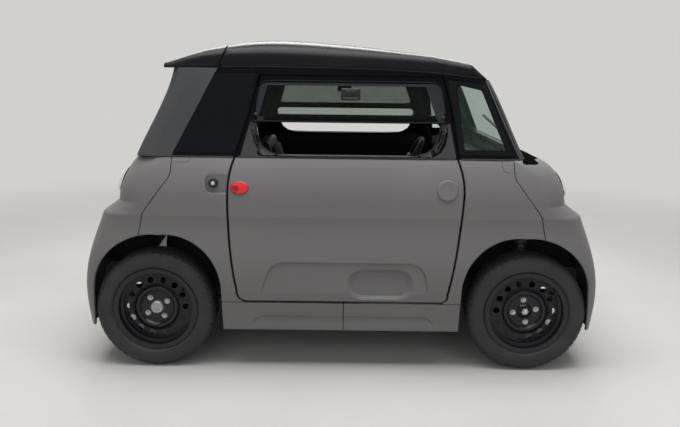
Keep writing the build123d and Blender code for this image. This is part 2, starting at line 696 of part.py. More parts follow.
wall_half = TYRE_WIDTH / 2
tread = mirrored_profile((
    (BEAD_OUT, BEAD_RADIUS), (BEAD_OUT, RIM_RADIUS + 1), (BEAD_OUT + 8, RIM_RADIUS + 6), (wall_half, 232),
    (wall_half - 3.5, 256), (wall_half - 19.5, 274), (wall_half - 52.5, TYRE_RADIUS)))
carcass = mirrored_profile(((BEAD_IN, BEAD_RADIUS), (BEAD_IN, 190), (BEAD_IN + 16, 232), (BEAD_IN + 8, 258)))
tyre = wheel_profile(tread + carcass[::-1])
rim_seat = BEAD_RADIUS - FIT
rim_out, rim_in, disc_y = WHEEL_Y + 65, WHEEL_Y - 65, WHEEL_Y + DISC_OUT
rim_barrel = wheel_profile((
    (rim_in, RIM_RADIUS), (rim_in + 4, RIM_RADIUS), (rim_in + 4, rim_seat), (WHEEL_Y - 26, 174),
    (WHEEL_Y - 18, 163), (WHEEL_Y + 26, 163), (WHEEL_Y + 34, 174), (rim_out - 4, rim_seat),
    (rim_out - 4, RIM_RADIUS), (rim_out, RIM_RADIUS), (rim_out, 173), (WHEEL_Y + 38, 170), (WHEEL_Y + 30, 158),
    (WHEEL_Y - 22, 158), (WHEEL_Y - 30, 170), (rim_in, 173)))
rim_disc = wheel_profile((
    (disc_y, 30), (disc_y, 76), (disc_y + 10, 84), (disc_y + 10, 96), (disc_y + 1, 106), (disc_y - 3, 116),
    (disc_y - 7, 150), (disc_y - 7, 160), (disc_y - 11, 160), (disc_y - 11, 148), (disc_y - 7, 114),
    (disc_y - 3, 104), (disc_y + 6, 95), (disc_y + 6, 85), (disc_y - 4, 75), (disc_y - 4, 30)))
with BuildPart() as rim:
    add(rim_barrel)
    add(rim_disc)
    with BuildSketch(Plane.XZ.offset(disc_y - 30)):
        with PolarLocations(HOLE_CIRCLE, HOLES):
            Circle(HOLE_RADIUS)
    extrude(amount=60, mode=Mode.SUBTRACT)


def wheel_place(shape, x, left):
    piece = shape.rotate(Axis.Z, 180) if left else shape
    return piece.moved(Location((x, 0, TYRE_RADIUS)))


WHEELS = (("front_right", AXLE, False), ("front_left", AXLE, True),
          ("rear_right", -AXLE, False), ("rear_left", -AXLE, True))
for name, x, left in WHEELS:
    save(wheel_place(tyre, x, left), f"{name}_tyre")
    save(wheel_place(rim.part, x, left), f"{name}_rim")

# ---- knuckles, front arms and rear axle ----
HUB_FACE = disc_y - 4 - FIT
HUB_RADIUS = 68.0
BRAKE_RADIUS = 95.0
BEAM = 30.0
ARM_TOP = TYRE_RADIUS - 104.0
ARM_LOW = ARM_TOP - 16.0
hub = wheel_profile(((HUB_FACE, 0), (HUB_FACE, HUB_RADIUS), (HUB_FACE - 6, HUB_RADIUS), (HUB_FACE - 6, BRAKE_RADIUS),
                     (HUB_FACE - 14, BRAKE_RADIUS), (HUB_FACE - 14, 50), (KINGPIN_Y - 30, 42), (KINGPIN_Y - 30, 0)))
upright = joined(wheel_place(hub, AXLE, False), rod(kingpin, BALL_SEAT, 120, 18),
                 rod(kingpin, 60, 300, STRUT_RADIUS), rod(kingpin, 300, 360, BOOT_RADIUS),
                 rod(kingpin, 360, STRUT_TOP, STRUT_PIN))
upright = cut(upright, rod(kingpin, BALL_SEAT - 10, BALL_TOP + FIT, BALL_RADIUS + FIT))
save(upright, "front_right_knuckle")
save(left_of(upright), "front_left_knuckle")
ball_y = KINGPIN_Y + (TYRE_RADIUS - ARM_TOP) * KINGPIN_LEAN / 57.3
front_arm = joined(
    box_between((AXLE - 20, -ball_y, ARM_LOW), (AXLE + 20, -RAIL_OUT - FIT, ARM_TOP)),
    box_between((AXLE - 110, -330, ARM_LOW), (AXLE + 110, -RAIL_OUT - FIT, ARM_TOP)),
    rod(kingpin, BALL_SEAT - 22, BALL_SEAT - FIT, 16), rod(kingpin, BALL_SEAT - 22, BALL_TOP, BALL_RADIUS))
save(both_sides(front_arm), "front_suspension")
rear_hub = wheel_profile((
    (HUB_FACE, 0), (HUB_FACE, HUB_RADIUS), (HUB_FACE - 8, HUB_RADIUS), (HUB_FACE - 8, 100), (HUB_FACE - 50, 100),
    (HUB_FACE - 50, BEAM), (0, BEAM), (0, 0)))
rear_arm = box_between((-AXLE - 30, -335, TYRE_RADIUS - 25), (-ARM_PIVOT, -ARM_IN, TYRE_RADIUS + 25))
save(joined(wheel_place(rear_hub, -AXLE, False), wheel_place(rear_hub, -AXLE, True), both_sides(rear_arm)),
     "rear_axle")
SHOCK_X = -870.0
SHOCK_Y = 430.0
shock = rod(Plane.XY.move(Location((SHOCK_X, -SHOCK_Y, 0))), TYRE_RADIUS + BEAM + FIT, 700, STRUT_RADIUS)
shock = kept(shock, rear_of(side_solid(arch_face(LINER_OFFSET - FIT), LINER_INNER_Y)))
save(both_sides(shock), "rear_shocks")
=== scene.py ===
import bpy, bmesh, math
from mathutils import Matrix, Vector
from mathutils.bvhtree import BVHTree


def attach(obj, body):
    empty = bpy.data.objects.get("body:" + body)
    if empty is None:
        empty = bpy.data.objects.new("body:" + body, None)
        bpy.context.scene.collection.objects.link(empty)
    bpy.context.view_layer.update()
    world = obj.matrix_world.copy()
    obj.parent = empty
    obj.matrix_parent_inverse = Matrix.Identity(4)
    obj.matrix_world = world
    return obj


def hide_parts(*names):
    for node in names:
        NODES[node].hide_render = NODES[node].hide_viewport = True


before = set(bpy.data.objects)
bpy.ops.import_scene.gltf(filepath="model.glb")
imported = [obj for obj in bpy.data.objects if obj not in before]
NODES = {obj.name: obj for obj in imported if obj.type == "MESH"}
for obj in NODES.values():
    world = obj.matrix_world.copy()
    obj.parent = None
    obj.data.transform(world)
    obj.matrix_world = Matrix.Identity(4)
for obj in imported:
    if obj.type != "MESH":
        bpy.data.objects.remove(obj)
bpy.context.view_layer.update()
AXLE, RIDE = 0.864, 0.2785          # the axles' distance from the middle, and their height
WHEEL_MID = 0.575                   # a wheel's middle plane from the car's
DOOR_TURN_X = 0.02                 # the left door is the right one after half a turn at this x
BELT_Z = 0.9915                     # above it the doors are window frames
DOOR_INSIDE_Y = 0.668
PRINT_BLACK = (0.0025, 0.0028, 0.004)
CORNER_ROUND = 0.012                # rounding of a printed border's corners


def move(x, y=0.0, z=0.0):
    return Matrix.Translation((x, y, z))


def turn(degrees, axis):
    return Matrix.Rotation(math.radians(degrees), 4, axis)


HALF_TURN = move(DOOR_TURN_X) @ turn(180, "Z") @ move(-DOOR_TURN_X)
FLIP_Y = Matrix.Scale(-1, 4, (0, 1, 0))


# ---------- materials ----------
def made(tree, kind, inputs=(), **settings):
    # a shader node; its inputs, by place or by name, are linked to a socket or set to a value
    node = tree.nodes.new("ShaderNode" + kind)
    for key, value in settings.items():
        setattr(node, key, value)
    for key, value in inputs.items() if isinstance(inputs, dict) else enumerate(inputs):
        if isinstance(value, bpy.types.NodeSocket):
            tree.links.new(value, node.inputs[key])
        else:
            node.inputs[key].default_value = value
    return node


def math_of(tree, operation, *inputs):
    return made(tree, "Math", inputs, operation=operation).outputs[0]


def mixed(tree, share, first, second, output="Material Output"):
    # the tree's surface: first where share is 0, second where it is 1
    blend = made(tree, "MixShader", (share, first, second))
    tree.links.new(blend.outputs[0], tree.nodes[output].inputs["Surface"])
    return blend


def coordinates(tree):
    return made(tree, "SeparateXYZ", (made(tree, "TexCoord").outputs["Object"],)).outputs


def material(name, color, rough=0.5, metal=0.0, grain=0.0, grain_size=600.0, tint=0.06, cloud=3.0, coat=0.0,
             stretch=(1, 1, 1), wear=0.0, specular=0.5, soft=0.0):
    # broad noise varies colour and roughness, fine noise is the grain, and wear lightens the edges
    m = bpy.data.materials.new(name)
    m.use_nodes = True
    t = m.node_tree
    surface = t.nodes["Principled BSDF"].inputs
    where = made(t, "Mapping", {"Vector": made(t, "TexCoord").outputs["Object"], "Scale": stretch}).outputs[0]
    broad = made(t, "TexNoise", {"Vector": where, "Scale": cloud, "Detail": 5}).outputs[0]
    ramp = made(t, "ValToRGB", (broad,))
    for stop, place, share in zip(ramp.color_ramp.elements, (0.3, 0.7), (1 - tint, 1 + tint)):
        stop.position = place
        stop.color = (*[min(1, c * share) for c in color], 1)
    shade = ramp.outputs[0]
    if wear:
        edges = made(t, "NewGeometry").outputs["Pointiness"]
        worn = made(t, "MapRange", {"Value": edges, "From Min": 0.51, "From Max": 0.62, "To Max": wear})
        paler = (*[min(1, c * 1.6 + 0.03) for c in color], 1)
        blend = made(t, "Mix", {"Factor": worn.outputs[0], "A": shade, "B": paler}, data_type="RGBA")
        shade = blend.outputs["Result"]
    t.links.new(shade, surface["Base Color"])
    low, high = max(0.02, rough - 0.07), min(1, rough + 0.07)
    span = made(t, "MapRange", {"Value": broad, "To Min": low, "To Max": high})
    t.links.new(span.outputs[0], surface["Roughness"])
    if grain:
        fine = made(t, "TexNoise", {"Vector": where, "Scale": grain_size, "Detail": 3}).outputs[0]
        relief = {"Height": fine, "Strength": grain, "Distance": 0.0006}
        if soft:
            relief["Normal"] = made(t, "Bevel", {"Radius": soft}, samples=6).outputs[0]
        t.links.new(made(t, "Bump", relief).outputs[0], surface["Normal"])
    for key, value in (("Metallic", metal), ("Coat Weight", coat), ("Coat Roughness", 0.12), ("IOR", 1.45),
                       ("Specular IOR Level", specular)):
        surface[key].default_value = value
    return m


def thin_glass(name, color, share, rough, through):
    # a pane: what lies behind shows tinted by through, under a thin share of the pane's own surface
    m = material(name, color, rough=rough, tint=0.03, specular=0.35)
    t = m.node_tree
    clear = made(t, "BsdfTransparent", ((*through, 1),)).outputs[0]
    mixed(t, share, clear, t.nodes["Principled BSDF"].outputs[0]).name = "pane"
    m.blend_method = "BLEND"
    return m


def printed_layer(tree, color, rough, specular):
    inputs = {"Base Color": (*color, 1), "Roughness": rough, "Specular IOR Level": specular}
    return made(tree, "BsdfPrincipled", inputs)


M = {
    "body": material("body_paint", (0.116, 0.113, 0.113), 0.5, grain=0.1, grain_size=1800, tint=0.03, coat=0.06,
                     soft=0.008),
    "roof": material("roof_black", (0.007, 0.007, 0.009), 0.27, grain=0.1, grain_size=900, tint=0.08,
                     specular=0.15, soft=0.03),
    "gloss": material("frame_black", (0.002, 0.0024, 0.0036), 0.1, tint=0.05, grain=0.02, specular=0.16),
    "cloth": material("pillar_matte", (0.03, 0.032, 0.035), 0.7, grain=0.3, grain_size=1400, tint=0.1),
    "plastic": material("black_plastic", (0.014, 0.014, 0.015), 0.62, grain=0.35, grain_size=900, tint=0.15),
    "rubber": material("seal_rubber", (0.01, 0.01, 0.01), 0.55, grain=0.15, tint=0.1),
    "tyre": material("tyre_rubber", (0.024, 0.024, 0.025), 0.72, grain=0.35, grain_size=700, tint=0.22, cloud=9),
    "steel": material("wheel_steel", (0.006, 0.0062, 0.0085), 0.28, specular=0.4, grain=0.12, grain_size=500,
                      tint=0.15, wear=0.25),
    "bolt": material("bolt_zinc", (0.55, 0.55, 0.56), 0.32, 1.0, grain=0.1, tint=0.1),
    "chassis": material("chassis_steel", (0.03, 0.03, 0.032), 0.5, grain=0.3, grain_size=300, tint=0.25, wear=0.15),
    "cast": material("cast_metal", (0.18, 0.18, 0.18), 0.55, 0.8, grain=0.6, grain_size=350, tint=0.15),
    "battery": material("battery_case", (0.06, 0.06, 0.065), 0.45, grain=0.3, tint=0.1),
    "seat": material("seat_shell", (0.022, 0.022, 0.024), 0.6, grain=0.5, grain_size=800, tint=0.15),
    "pad": material("seat_pad", (0.018, 0.018, 0.02), 0.85, grain=0.9, grain_size=1500, tint=0.12),
    "grip": material("wheel_grip", (0.018, 0.018, 0.019), 0.55, grain=0.5, grain_size=1200, tint=0.12),
    "lock": material("lock_metal", (0.62, 0.62, 0.62), 0.3, 1.0, stretch=(1, 1, 30)),
    "red": material("red_reflector", (0.55, 0.012, 0.012), 0.2, coat=0.6, tint=0.1, grain=0.1),
    "dark_red": material("red_dark", (0.22, 0.004, 0.006), 0.25, coat=0.4, tint=0.1),
    "floor": material("floor_pale", (0.4, 0.395, 0.385), 0.62, grain=0.15, grain_size=60, tint=0.035, cloud=1.2),
    "window": thin_glass("window_glass", (0.05, 0.062, 0.056), 0.05, 0.04, (0.81, 0.832, 0.818)),
    "privacy": thin_glass("privacy_glass", (0.002, 0.003, 0.005), 0.9, 0.05, (0.2, 0.22, 0.24)),
    "clear": thin_glass("clear_glass", (0.16, 0.24, 0.2), 0.05, 0.03, (0.865, 0.925, 0.895)),
    # the lens's pale share is painted highlight: a milky white that stands in for the bright reflections inside the
    # lamps
    "lens": thin_glass("lamp_lens", (0.8, 0.82, 0.84), 0.16, 0.05, (0.96, 0.97, 0.98)),
    "reflector": material("lamp_reflector", (0.3, 0.3, 0.31), 0.3, 0.7, tint=0.05),
    # painted shade: a black that reflects nothing, standing in for the shade of the dark opening by the cowl
    "void": material("shadow_black", (0.003, 0.003, 0.003), 1.0, tint=0.1, specular=0.0),
    "tail": thin_glass("tail_lens", (0.5, 0.01, 0.01), 0.75, 0.05, (0.8, 0.05, 0.05)),
    "cap": material("cap_metal", (0.42, 0.42, 0.43), 0.38, 0.9, tint=0.1),
    "chrome": material("lamp_chrome", (0.8, 0.8, 0.82), 0.12, 1.0, tint=0.03),
    # painted shade: the body paint darkened for the window's corner patches
    "gusset": material("gusset_painted_shade", (0.026, 0.025, 0.027), 0.5, grain=0.2, grain_size=1500),
    "bead": material("bead_grey", (0.045, 0.045, 0.048), 0.45, tint=0.04, specular=0.25),
    "trim": material("trim_black", (0.005, 0.005, 0.006), 0.55, tint=0.05, specular=0.12),
    "white": material("pale_plastic", (0.7, 0.71, 0.7), 0.4, tint=0.04),
}


def behind_line(look, slope, level):
    # the look behind a slanting line in side view (x = slope * z + level), frame black in front of it
    m = M[look].copy()
    m.name = look + "_and_gloss"
    t = m.node_tree
    at = coordinates(t)
    line = math_of(t, "MULTIPLY_ADD", at["Z"], slope, level)
    front = printed_layer(t, PRINT_BLACK, 0.1, 0.16)
    front.inputs["IOR"].default_value = 1.45
    mixed(t, math_of(t, "GREATER_THAN", at["X"], line), t.nodes["Principled BSDF"].outputs[0], front.outputs[0])
    return m


def bordered(look, axis, corners, name, printed=PRINT_BLACK, rough=0.08):
    # glass with a printed border: clear inside a convex outline in (across, z), printed outside it
    m = M[look].copy()
    m.name = name
    t = m.node_tree
    at = coordinates(t)
    across = math_of(t, "ABSOLUTE", at["Y"]) if axis == "Y" else at["X"]
    inside = None
    for (ax, az), (bx, bz) in zip(corners, corners[1:] + corners[:1]):
        length = math.hypot(bx - ax, bz - az)
        nx, nz = (bz - az) / length, -(bx - ax) / length
        share = math_of(t, "MULTIPLY_ADD", across, nx, -(nx * ax + nz * az))
        from_edge = math_of(t, "MULTIPLY_ADD", at["Z"], nz, share)
        inside = math_of(t, "SMOOTH_MIN", inside, from_edge, CORNER_ROUND) if inside else from_edge
    mixed(t, math_of(t, "GREATER_THAN", inside, 0), printed_layer(t, printed, rough, 0.3).outputs[0],
          t.nodes["pane"].outputs[0])
    return m


for look, glass, axis, corners, *printed in (
        ("quarter", "clear", "X", ((0.546, 1.036), (0.508, 1.322), (0.618, 1.298), (0.732, 1.036))),
        ("screen", "window", "Y", ((-0.1, 1.036), (-0.1, 1.306), (0.45, 1.306), (0.52, 1.036))),
        ("back", "privacy", "Y", ((-0.1, 1.052), (-0.1, 1.346), (0.436, 1.346), (0.506, 1.052))),
        ("flap", "window", "X", ((-0.38, 1.174), (-0.34, 1.312), (0.366, 1.312), (0.416, 1.174)),
         (0.016, 0.018, 0.022), 0.35)):
    M[look] = bordered(glass, axis, corners, look + "_pane", *printed)
M["pillar"] = behind_line("cloth", 0.534, -1.3024)
# a node gets the look of the longest word that its name holds
CAD_LOOKS = {word: look for look, words in {
    "body": "shell upper_panel quarter sill door",
    "roof": "roof_panel",
    "gloss": "windscreen_frame",
    "pillar": "rear_window_frame",
    "window": "door_glass",
    "flap": "window_flap",
    # the cowl tray is black plastic; it gets painted shade that reflects nothing, for the shade of the opening there
    "void": "cowl_tray",
    "screen": "windscreen",
    "back": "rear_window",
    "reflector": "headlamps",
    "tail": "tail_lamps",
    "plastic": "wheel_arch_liners dashboard steering_column floor_pan door_hinges",
    "tyre": "tyre",
    "steel": "rim",
    "chassis": "chassis_frame rear_axle front_suspension rear_shocks",
    "cast": "knuckle drive_motor",
    "battery": "battery_pack",
    "seat": "right_seat left_seat",
    "grip": "steering_wheel",
    "rubber": "door_locks",
}.items() for word in words.split()}


def dress(node, looks, index_of):
    # gives a node its materials, and each face the one that index_of says
    data = NODES[node].data
    data.materials.clear()
    for look in looks:
        data.materials.append(M[look])
    for p in data.polygons:
        p.material_index = index_of(p)


def door_index(p, out):
    if p.center.z > BELT_Z:
        return 1
    return 2 if p.normal.y * out < -0.5 and abs(p.center.y) < DOOR_INSIDE_Y else 0


for name, obj in NODES.items():
    word = max((word for word in CAD_LOOKS if word in name), key=len)
    dress(name, (CAD_LOOKS[word],), lambda p: 0)
    for p in obj.data.polygons:
        p.use_smooth = True
    obj.data.set_sharp_from_angle(angle=math.radians(28))
dress("right_door", ("body", "gloss", "plastic"), lambda p: door_index(p, -1))
dress("left_door", ("body", "gloss", "plastic"), lambda p: door_index(p, 1))
# the upper panel's flat top by the cowl is body paint, painted black here as the opening's shade
dress("front_upper_panel", ("body", "void"), lambda p: int(p.normal.z > 0.95 and p.center.z > 0.985))
dress("quarter_glass", ("privacy", "quarter"), lambda p: int(p.center.x > 0))


# ---------- mesh helpers ----------
def piece(name, mesh, look, body="body", angle=35):
    mesh.name = name
    o = bpy.data.objects.new(name, mesh)
    bpy.context.collection.objects.link(o)
    mesh.materials.append(M[look])
    for p in mesh.polygons:
        p.use_smooth = True
    mesh.set_sharp_from_angle(angle=math.radians(angle))
    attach(o, body)
    return o


def from_bm(bm):
    mesh = bpy.data.meshes.new("mesh")
    bm.to_mesh(mesh)
    bm.free()
    return mesh


def bm_of(*meshes):
    bm = bmesh.new()
    for mesh in meshes:
        bm.from_mesh(mesh)
    return bm


def merged(*meshes):
    return from_bm(bm_of(*meshes))


def to_mesh(verts, faces):
    mesh = bpy.data.meshes.new("mesh")
    mesh.from_pydata([tuple(v) for v in verts], [], faces)
    bm = bm_of(mesh)
    bmesh.ops.recalc_face_normals(bm, faces=bm.faces)
    return from_bm(bm)


def angles(steps):
    return [math.tau * k / steps for k in range(steps)]


def grid_faces(rows, columns, loop=False, wrap=False):
    # quads between rows of points; with loop each row closes on itself, with wrap the last row joins the first
    faces = []
    for i in range(rows if wrap else rows - 1):
        here, there = i * columns, (i + 1) % rows * columns
        for k in range(columns if loop else columns - 1):
            n = (k + 1) % columns
            faces.append((here + k, here + n, there + n, there + k))
    return faces


def placed(mesh, matrix):
    copy = mesh.copy()
    copy.transform(matrix)
    if matrix.determinant() < 0:
        copy.flip_normals()
    return copy


def lathe(profile, steps=64, axes=(1, 1), close=True):
    # profile of (distance along -Y, radius, or share of the half axes), turned about Y
    verts, faces, rings = [], [], []
    for out, radius in profile:
        count = steps if radius > 1e-6 else 1
        rings.append(list(range(len(verts), len(verts) + count)))
        verts += [(radius * axes[0] * math.cos(a), -out, radius * axes[1] * math.sin(a))
                  for a in angles(steps)[:count]]
    pairs = list(zip(rings, rings[1:]))
    if close and len(rings[0]) > 1 and len(rings[-1]) > 1:
        pairs.append((rings[-1], rings[0]))
    for a, b in pairs:
        for k in range(steps):
            n = (k + 1) % steps
            if len(a) == 1:
                faces.append((a[0], b[k], b[n]))
            elif len(b) == 1:
                faces.append((a[k], b[0], a[n]))
            else:
                faces.append((a[k], b[k], b[n], a[n]))
    return to_mesh(verts, faces)


def tube(path, radius, sides=10, flat=1.0, closed=False):
    # a tube along points, its section an ellipse squashed along each point's outward side
    pts = [Vector(p) for p in path]
    count = len(pts)
    verts = []
    up = Vector((0, -1, 0))
    for i, p in enumerate(pts):
        a = pts[(i - 1) % count] if closed or i else pts[0]
        b = pts[(i + 1) % count] if closed or i < count - 1 else pts[-1]
        t = (b - a).normalized()
        u = up - t * up.dot(t)
        if u.length < 0.05:
            u = Vector((0, 0, 1)) - t * t.z
        u.normalize()
        w = t.cross(u)
        verts += [p + u * math.sin(q) * radius * flat + w * math.cos(q) * radius for q in angles(sides)]
    faces = grid_faces(count, sides, True, closed)
    if not closed:
        faces += [tuple(range(sides)), tuple(range((count - 1) * sides, count * sides))]
    return to_mesh(verts, faces)


def rounded_box(low, high, radius=0.006, segments=3):
    bm = bmesh.new()
    bmesh.ops.create_cube(bm, size=1)
    size = [b - a for a, b in zip(low, high)]
    bmesh.ops.scale(bm, vec=size, verts=bm.verts)
    bmesh.ops.translate(bm, vec=[(a + b) / 2 for a, b in zip(low, high)], verts=bm.verts)
    radius = min(radius, min(size) * 0.45)
    bmesh.ops.bevel(bm, geom=bm.edges, offset=radius, segments=segments, profile=0.5, affect="EDGES")
    return from_bm(bm)


def bent(a, b, c, t):
    # a point of the curve from a to c that heads for b
    return a * (1 - t) ** 2 + b * 2 * t * (1 - t) + c * t * t


ROUND_STEPS = 6


def round_path(points, radius):
    # a closed outline in (x, z) with its corners rounded
    out, corners = [], [Vector(p) for p in points]
    for before, p, after in zip(corners[-1:] + corners, corners, corners[1:] + corners[:1]):
        a, b = [p + (q - p).normalized() * min(radius, (q - p).length * 0.45) for q in (before, after)]
        out += [tuple(bent(a, p, b, k / ROUND_STEPS)) for k in range(ROUND_STEPS + 1)]
    return out


def grown(points, amount):
    # a closed (x, z) outline moved outward, point by point
    after = points[1:] + points[:1]
    area = sum(a[0] * b[1] - b[0] * a[1] for a, b in zip(points, after))
    side = math.copysign(amount, area)
    out = []
    for i, (x, z) in enumerate(points):
        t = (Vector(after[i]) - Vector(points[i - 1])).normalized()
        out.append((x + t.y * side, z - t.x * side))
    return out


def resampled(points, gap, closed=True):
    out, ends = [], list(points)
    for a, b in zip(ends, ends[1:] + (ends[:1] if closed else [])):
        a, b = Vector(a), Vector(b)
        n = max(1, int((b - a).length / gap))
        out += [tuple(a.lerp(b, k / n)) for k in range(n)]
    return out if closed else out + [tuple(ends[-1])]


def tree_of(*meshes):
    bm = bm_of(*meshes)
    tree = BVHTree.FromBMesh(bm)
    bm.free()
    return tree


def nodes_tree(*names):
    return tree_of(*(NODES[n].data for n in names))


def met(tree, start, way, lift, missed):
    # where a ray meets the tree, lifted off it to the side that the ray comes from
    hit, normal, _, _ = tree.ray_cast(Vector(start), Vector(way))
    if hit is None:
        return Vector(missed)
    return hit + (-normal if normal.dot(Vector(way)) > 0 else normal) * lift


SKIN_WORDS = ("right_door", "quarter", "right_sill", "shell", "upper_panel", "window_frame", "windscreen_frame",
              "roof_panel")
SKIN = nodes_tree(*[n for n in NODES if any(w in n for w in SKIN_WORDS) and "glass" not in n and "flap" not in n])
FLAP = nodes_tree("right_window_flap")
SCREEN = nodes_tree("windscreen", "windscreen_frame")
LENSES = nodes_tree("headlamps", "tail_lamps")
NOSE = nodes_tree("headlamps", "tail_lamps", "front_upper_panel", "rear_upper_panel")


def on_side(x, z, lift=0.0, tree=SKIN):
    return met(tree, (x, -1.2, z), (0, 1, 0), lift, (x, -0.6, z))


def from_above(x, y, lift, tree):
    return met(tree, (x, y, 2.0), (0, 0, -1), lift, (x, y, 1.5))


def on_screen(y, z, lift):
    return met(SCREEN, (1.4, y, z), (-1, 0, 0), lift, (0.83, y, z))


def on_end(y, z, end, lift, tree):
    return met(tree, (end * 1.6, y, z), (-end, 0, 0), lift, (end, y, z))


def side_path(points, lift=0.0, gap=0.012, closed=False, tree=SKIN):
    return [on_side(x, z, lift, tree) for x, z in resampled(points, gap, closed)]


SHEET = 0.0012              # thickness of a thin trim


def side_patch(outline, lift, gap):
    # a thin sheet over the side: the outline filled with triangles, each point laid on the surface
    bm = bmesh.new()
    vs = [bm.verts.new((x, 0, z)) for x, z in resampled(outline, gap)]
    edges = [bm.edges.new((a, b)) for a, b in zip(vs, vs[1:] + vs[:1])]
    bmesh.ops.triangle_fill(bm, edges=edges, use_beauty=True, use_dissolve=False, normal=(0, -1, 0))
    for _ in range(6):
        long = [e for e in bm.edges if e.calc_length() > gap * 2.2]
        if not long:
            break
        bmesh.ops.subdivide_edges(bm, edges=long, cuts=1)
        bmesh.ops.triangulate(bm, faces=bm.faces)
    for v in bm.verts:
        v.co = on_side(v.co.x, v.co.z, lift)
    bmesh.ops.recalc_face_normals(bm, faces=bm.faces)
    bmesh.ops.solidify(bm, geom=bm.faces[:], thickness=SHEET)
    return from_bm(bm)


def on_doors(name, mesh, look, finish="black_plastic", angle=35):
    left = placed(mesh, HALF_TURN)
    piece("right_" + name, mesh, look, "right_door", angle)
    piece("left_" + name, left, look, "left_door", angle)


def on_body(name, mesh, look, finish="black_plastic", flip=FLIP_Y):
    left = placed(mesh, flip)
    piece("right_" + name, mesh, look, "body")
    piece("left_" + name, left, look, "body")


# ---------- wheels ----------
TREAD_STEPS = 288
LUG_CUT, SIPE_CUT, BLOCK_CUT, RIB = 0.0042, 0.0016, 0.0014, 0.0003
PLAIN, GROOVE, BLOCK, SHOULDER, RIBS = range(5)


def patterned(*runs):
    # rows of (distance out from the tyre's middle, radius, pattern)
    return [(out, radius, pattern) for pattern, *run in runs for out, radius in run]


OUTER = patterned(
    (PLAIN, (0.0595, 0.196), (0.064, 0.1985), (0.069, 0.2015), (0.0715, 0.2055), (0.0735, 0.206), (0.0745, 0.209)),
    (RIBS, (0.0762, 0.218), (0.0774, 0.229), (0.0776, 0.234)),
    (PLAIN, (0.0772, 0.2352), (0.077, 0.24), (0.0763, 0.247), (0.0768, 0.2478), (0.0752, 0.256)),
    (SHOULDER, (0.0745, 0.2566), (0.07, 0.264), (0.064, 0.27), (0.059, 0.2728), (0.052, 0.2752)),
    (GROOVE, (0.0512, 0.269), (0.0452, 0.269)), (BLOCK, (0.0444, 0.2762), (0.033, 0.2772), (0.0245, 0.2777)),
    (GROOVE, (0.0237, 0.2695), (0.0167, 0.2695)), (BLOCK, (0.0159, 0.2781), (0.008, 0.2784)))
BEAD = patterned((PLAIN, (0.0565, 0.1905), (0.056, 0.183), (0.0545, 0.1782)))
LINING = patterned((PLAIN, (0.0545, 0.19), (0.069, 0.23), (0.062, 0.256), (0.04, 0.262)))


def cut_at(k, out, radius, pattern):
    # a point of the tyre's profile at step k round it, with the tread's cuts and the sidewall's ribs
    if pattern == SHOULDER:
        radius -= {0: LUG_CUT, 3: SIPE_CUT}.get(k % 6, 0)
    elif pattern == BLOCK and (k + round((out + 0.05) * 60) % 6) % 6 == 2:
        radius -= BLOCK_CUT
    elif pattern == RIBS:
        out -= math.copysign(RIB, out) * (k % 2)
    return out, radius


def tyre_mesh():
    far = [(-out, *rest) for out, *rest in OUTER[::-1] + BEAD + LINING]
    full = [*OUTER, (0, RIDE, BLOCK), *far, *LINING[::-1], *BEAD[::-1]]
    verts = []
    for k, a in enumerate(angles(TREAD_STEPS)):
        for row in full:
            out, radius = cut_at(k, *row)
            verts.append((radius * math.cos(a), -out, radius * math.sin(a)))
    return to_mesh(verts, grid_faces(TREAD_STEPS, len(full), True, True))


TYRE = tyre_mesh()
HUB_Y = WHEEL_MID + 0.025
BOLT_CIRCLE, VALVE_CIRCLE, VALVE_ANGLE = 0.054, 0.15, 0.6
BOLT = merged(lathe(((0, 0), (0, 0.0133), (0.0025, 0.0133), (0.0042, 0.01045), (0.0042, 0)), 28),
              lathe(((0.003, 0), (0.003, 0.0095), (0.011, 0.0095), (0.0125, 0.00855), (0.0125, 0.005225),
                     (0.0085, 0.00475), (0.0085, 0)), 6))
CAP = lathe(((0, 0), (0, 0.034), (0.004, 0.034), (0.01, 0.031), (0.016, 0.0295), (0.019, 0.026),
             (0.0195, 0.018), (0.0182, 0.016), (0.0182, 0)), 48)
NUT_RING = lathe(((0, 0), (0, 0.036), (0.006, 0.036), (0.012, 0.031), (0.014, 0.029), (0.01, 0.027),
                  (0.004, 0.0265), (0.004, 0)), 48)
NUT = merged(lathe(((0.003, 0), (0.003, 0.018), (0.016, 0.018), (0.019, 0.0155), (0.019, 0)), 6),
             lathe(((0.01, 0), (0.01, 0.0095), (0.027, 0.0095), (0.0285, 0.008), (0.0285, 0)), 32))
VALVE = lathe(((0, 0), (0, 0.0055), (0.016, 0.0045), (0.018, 0.0038), (0.03, 0.0038), (0.032, 0.003),
               (0.032, 0)), 20)
FRONT_BOLTS, REAR_BOLTS = (98, 9, -82, -172), (126, 31, -54, -147)      # degrees round the hub
for wheel, x, half_turns, bolt_angles in (
        ("front_right", AXLE, 0, FRONT_BOLTS), ("rear_right", -AXLE, 0, REAR_BOLTS),
        ("front_left", AXLE, 1, FRONT_BOLTS), ("rear_left", -AXLE, 1, REAR_BOLTS)):
    body = wheel + "_wheel"
    place = move(x, 0, RIDE) @ turn(180 * half_turns, "Z")
    hub = place @ move(0, -HUB_Y + 0.004)
    tyre = piece(wheel + "_road_tyre", placed(TYRE, place @ move(0, -WHEEL_MID)), "tyre", body, 28)
    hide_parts(wheel + "_tyre")
    bolts = [placed(BOLT, place @ move(BOLT_CIRCLE * math.cos(a), -HUB_Y, BOLT_CIRCLE * math.sin(a)))
             for a in map(math.radians, bolt_angles)]
    piece(wheel + "_bolts", merged(*bolts), "bolt", body, 40)
    if x < 0:
        piece(wheel + "_cap", placed(CAP, hub), "cap", body)
    else:
        piece(wheel + "_nut_ring", placed(NUT_RING, hub), "steel", body)
        piece(wheel + "_hub_nut", placed(NUT, hub), "bolt", body, 40)
    valve = place @ move(VALVE_CIRCLE * math.cos(VALVE_ANGLE), -HUB_Y - 0.002, VALVE_CIRCLE * math.sin(VALVE_ANGLE))
    piece(wheel + "_valve", placed(VALVE, valve), "rubber", body)

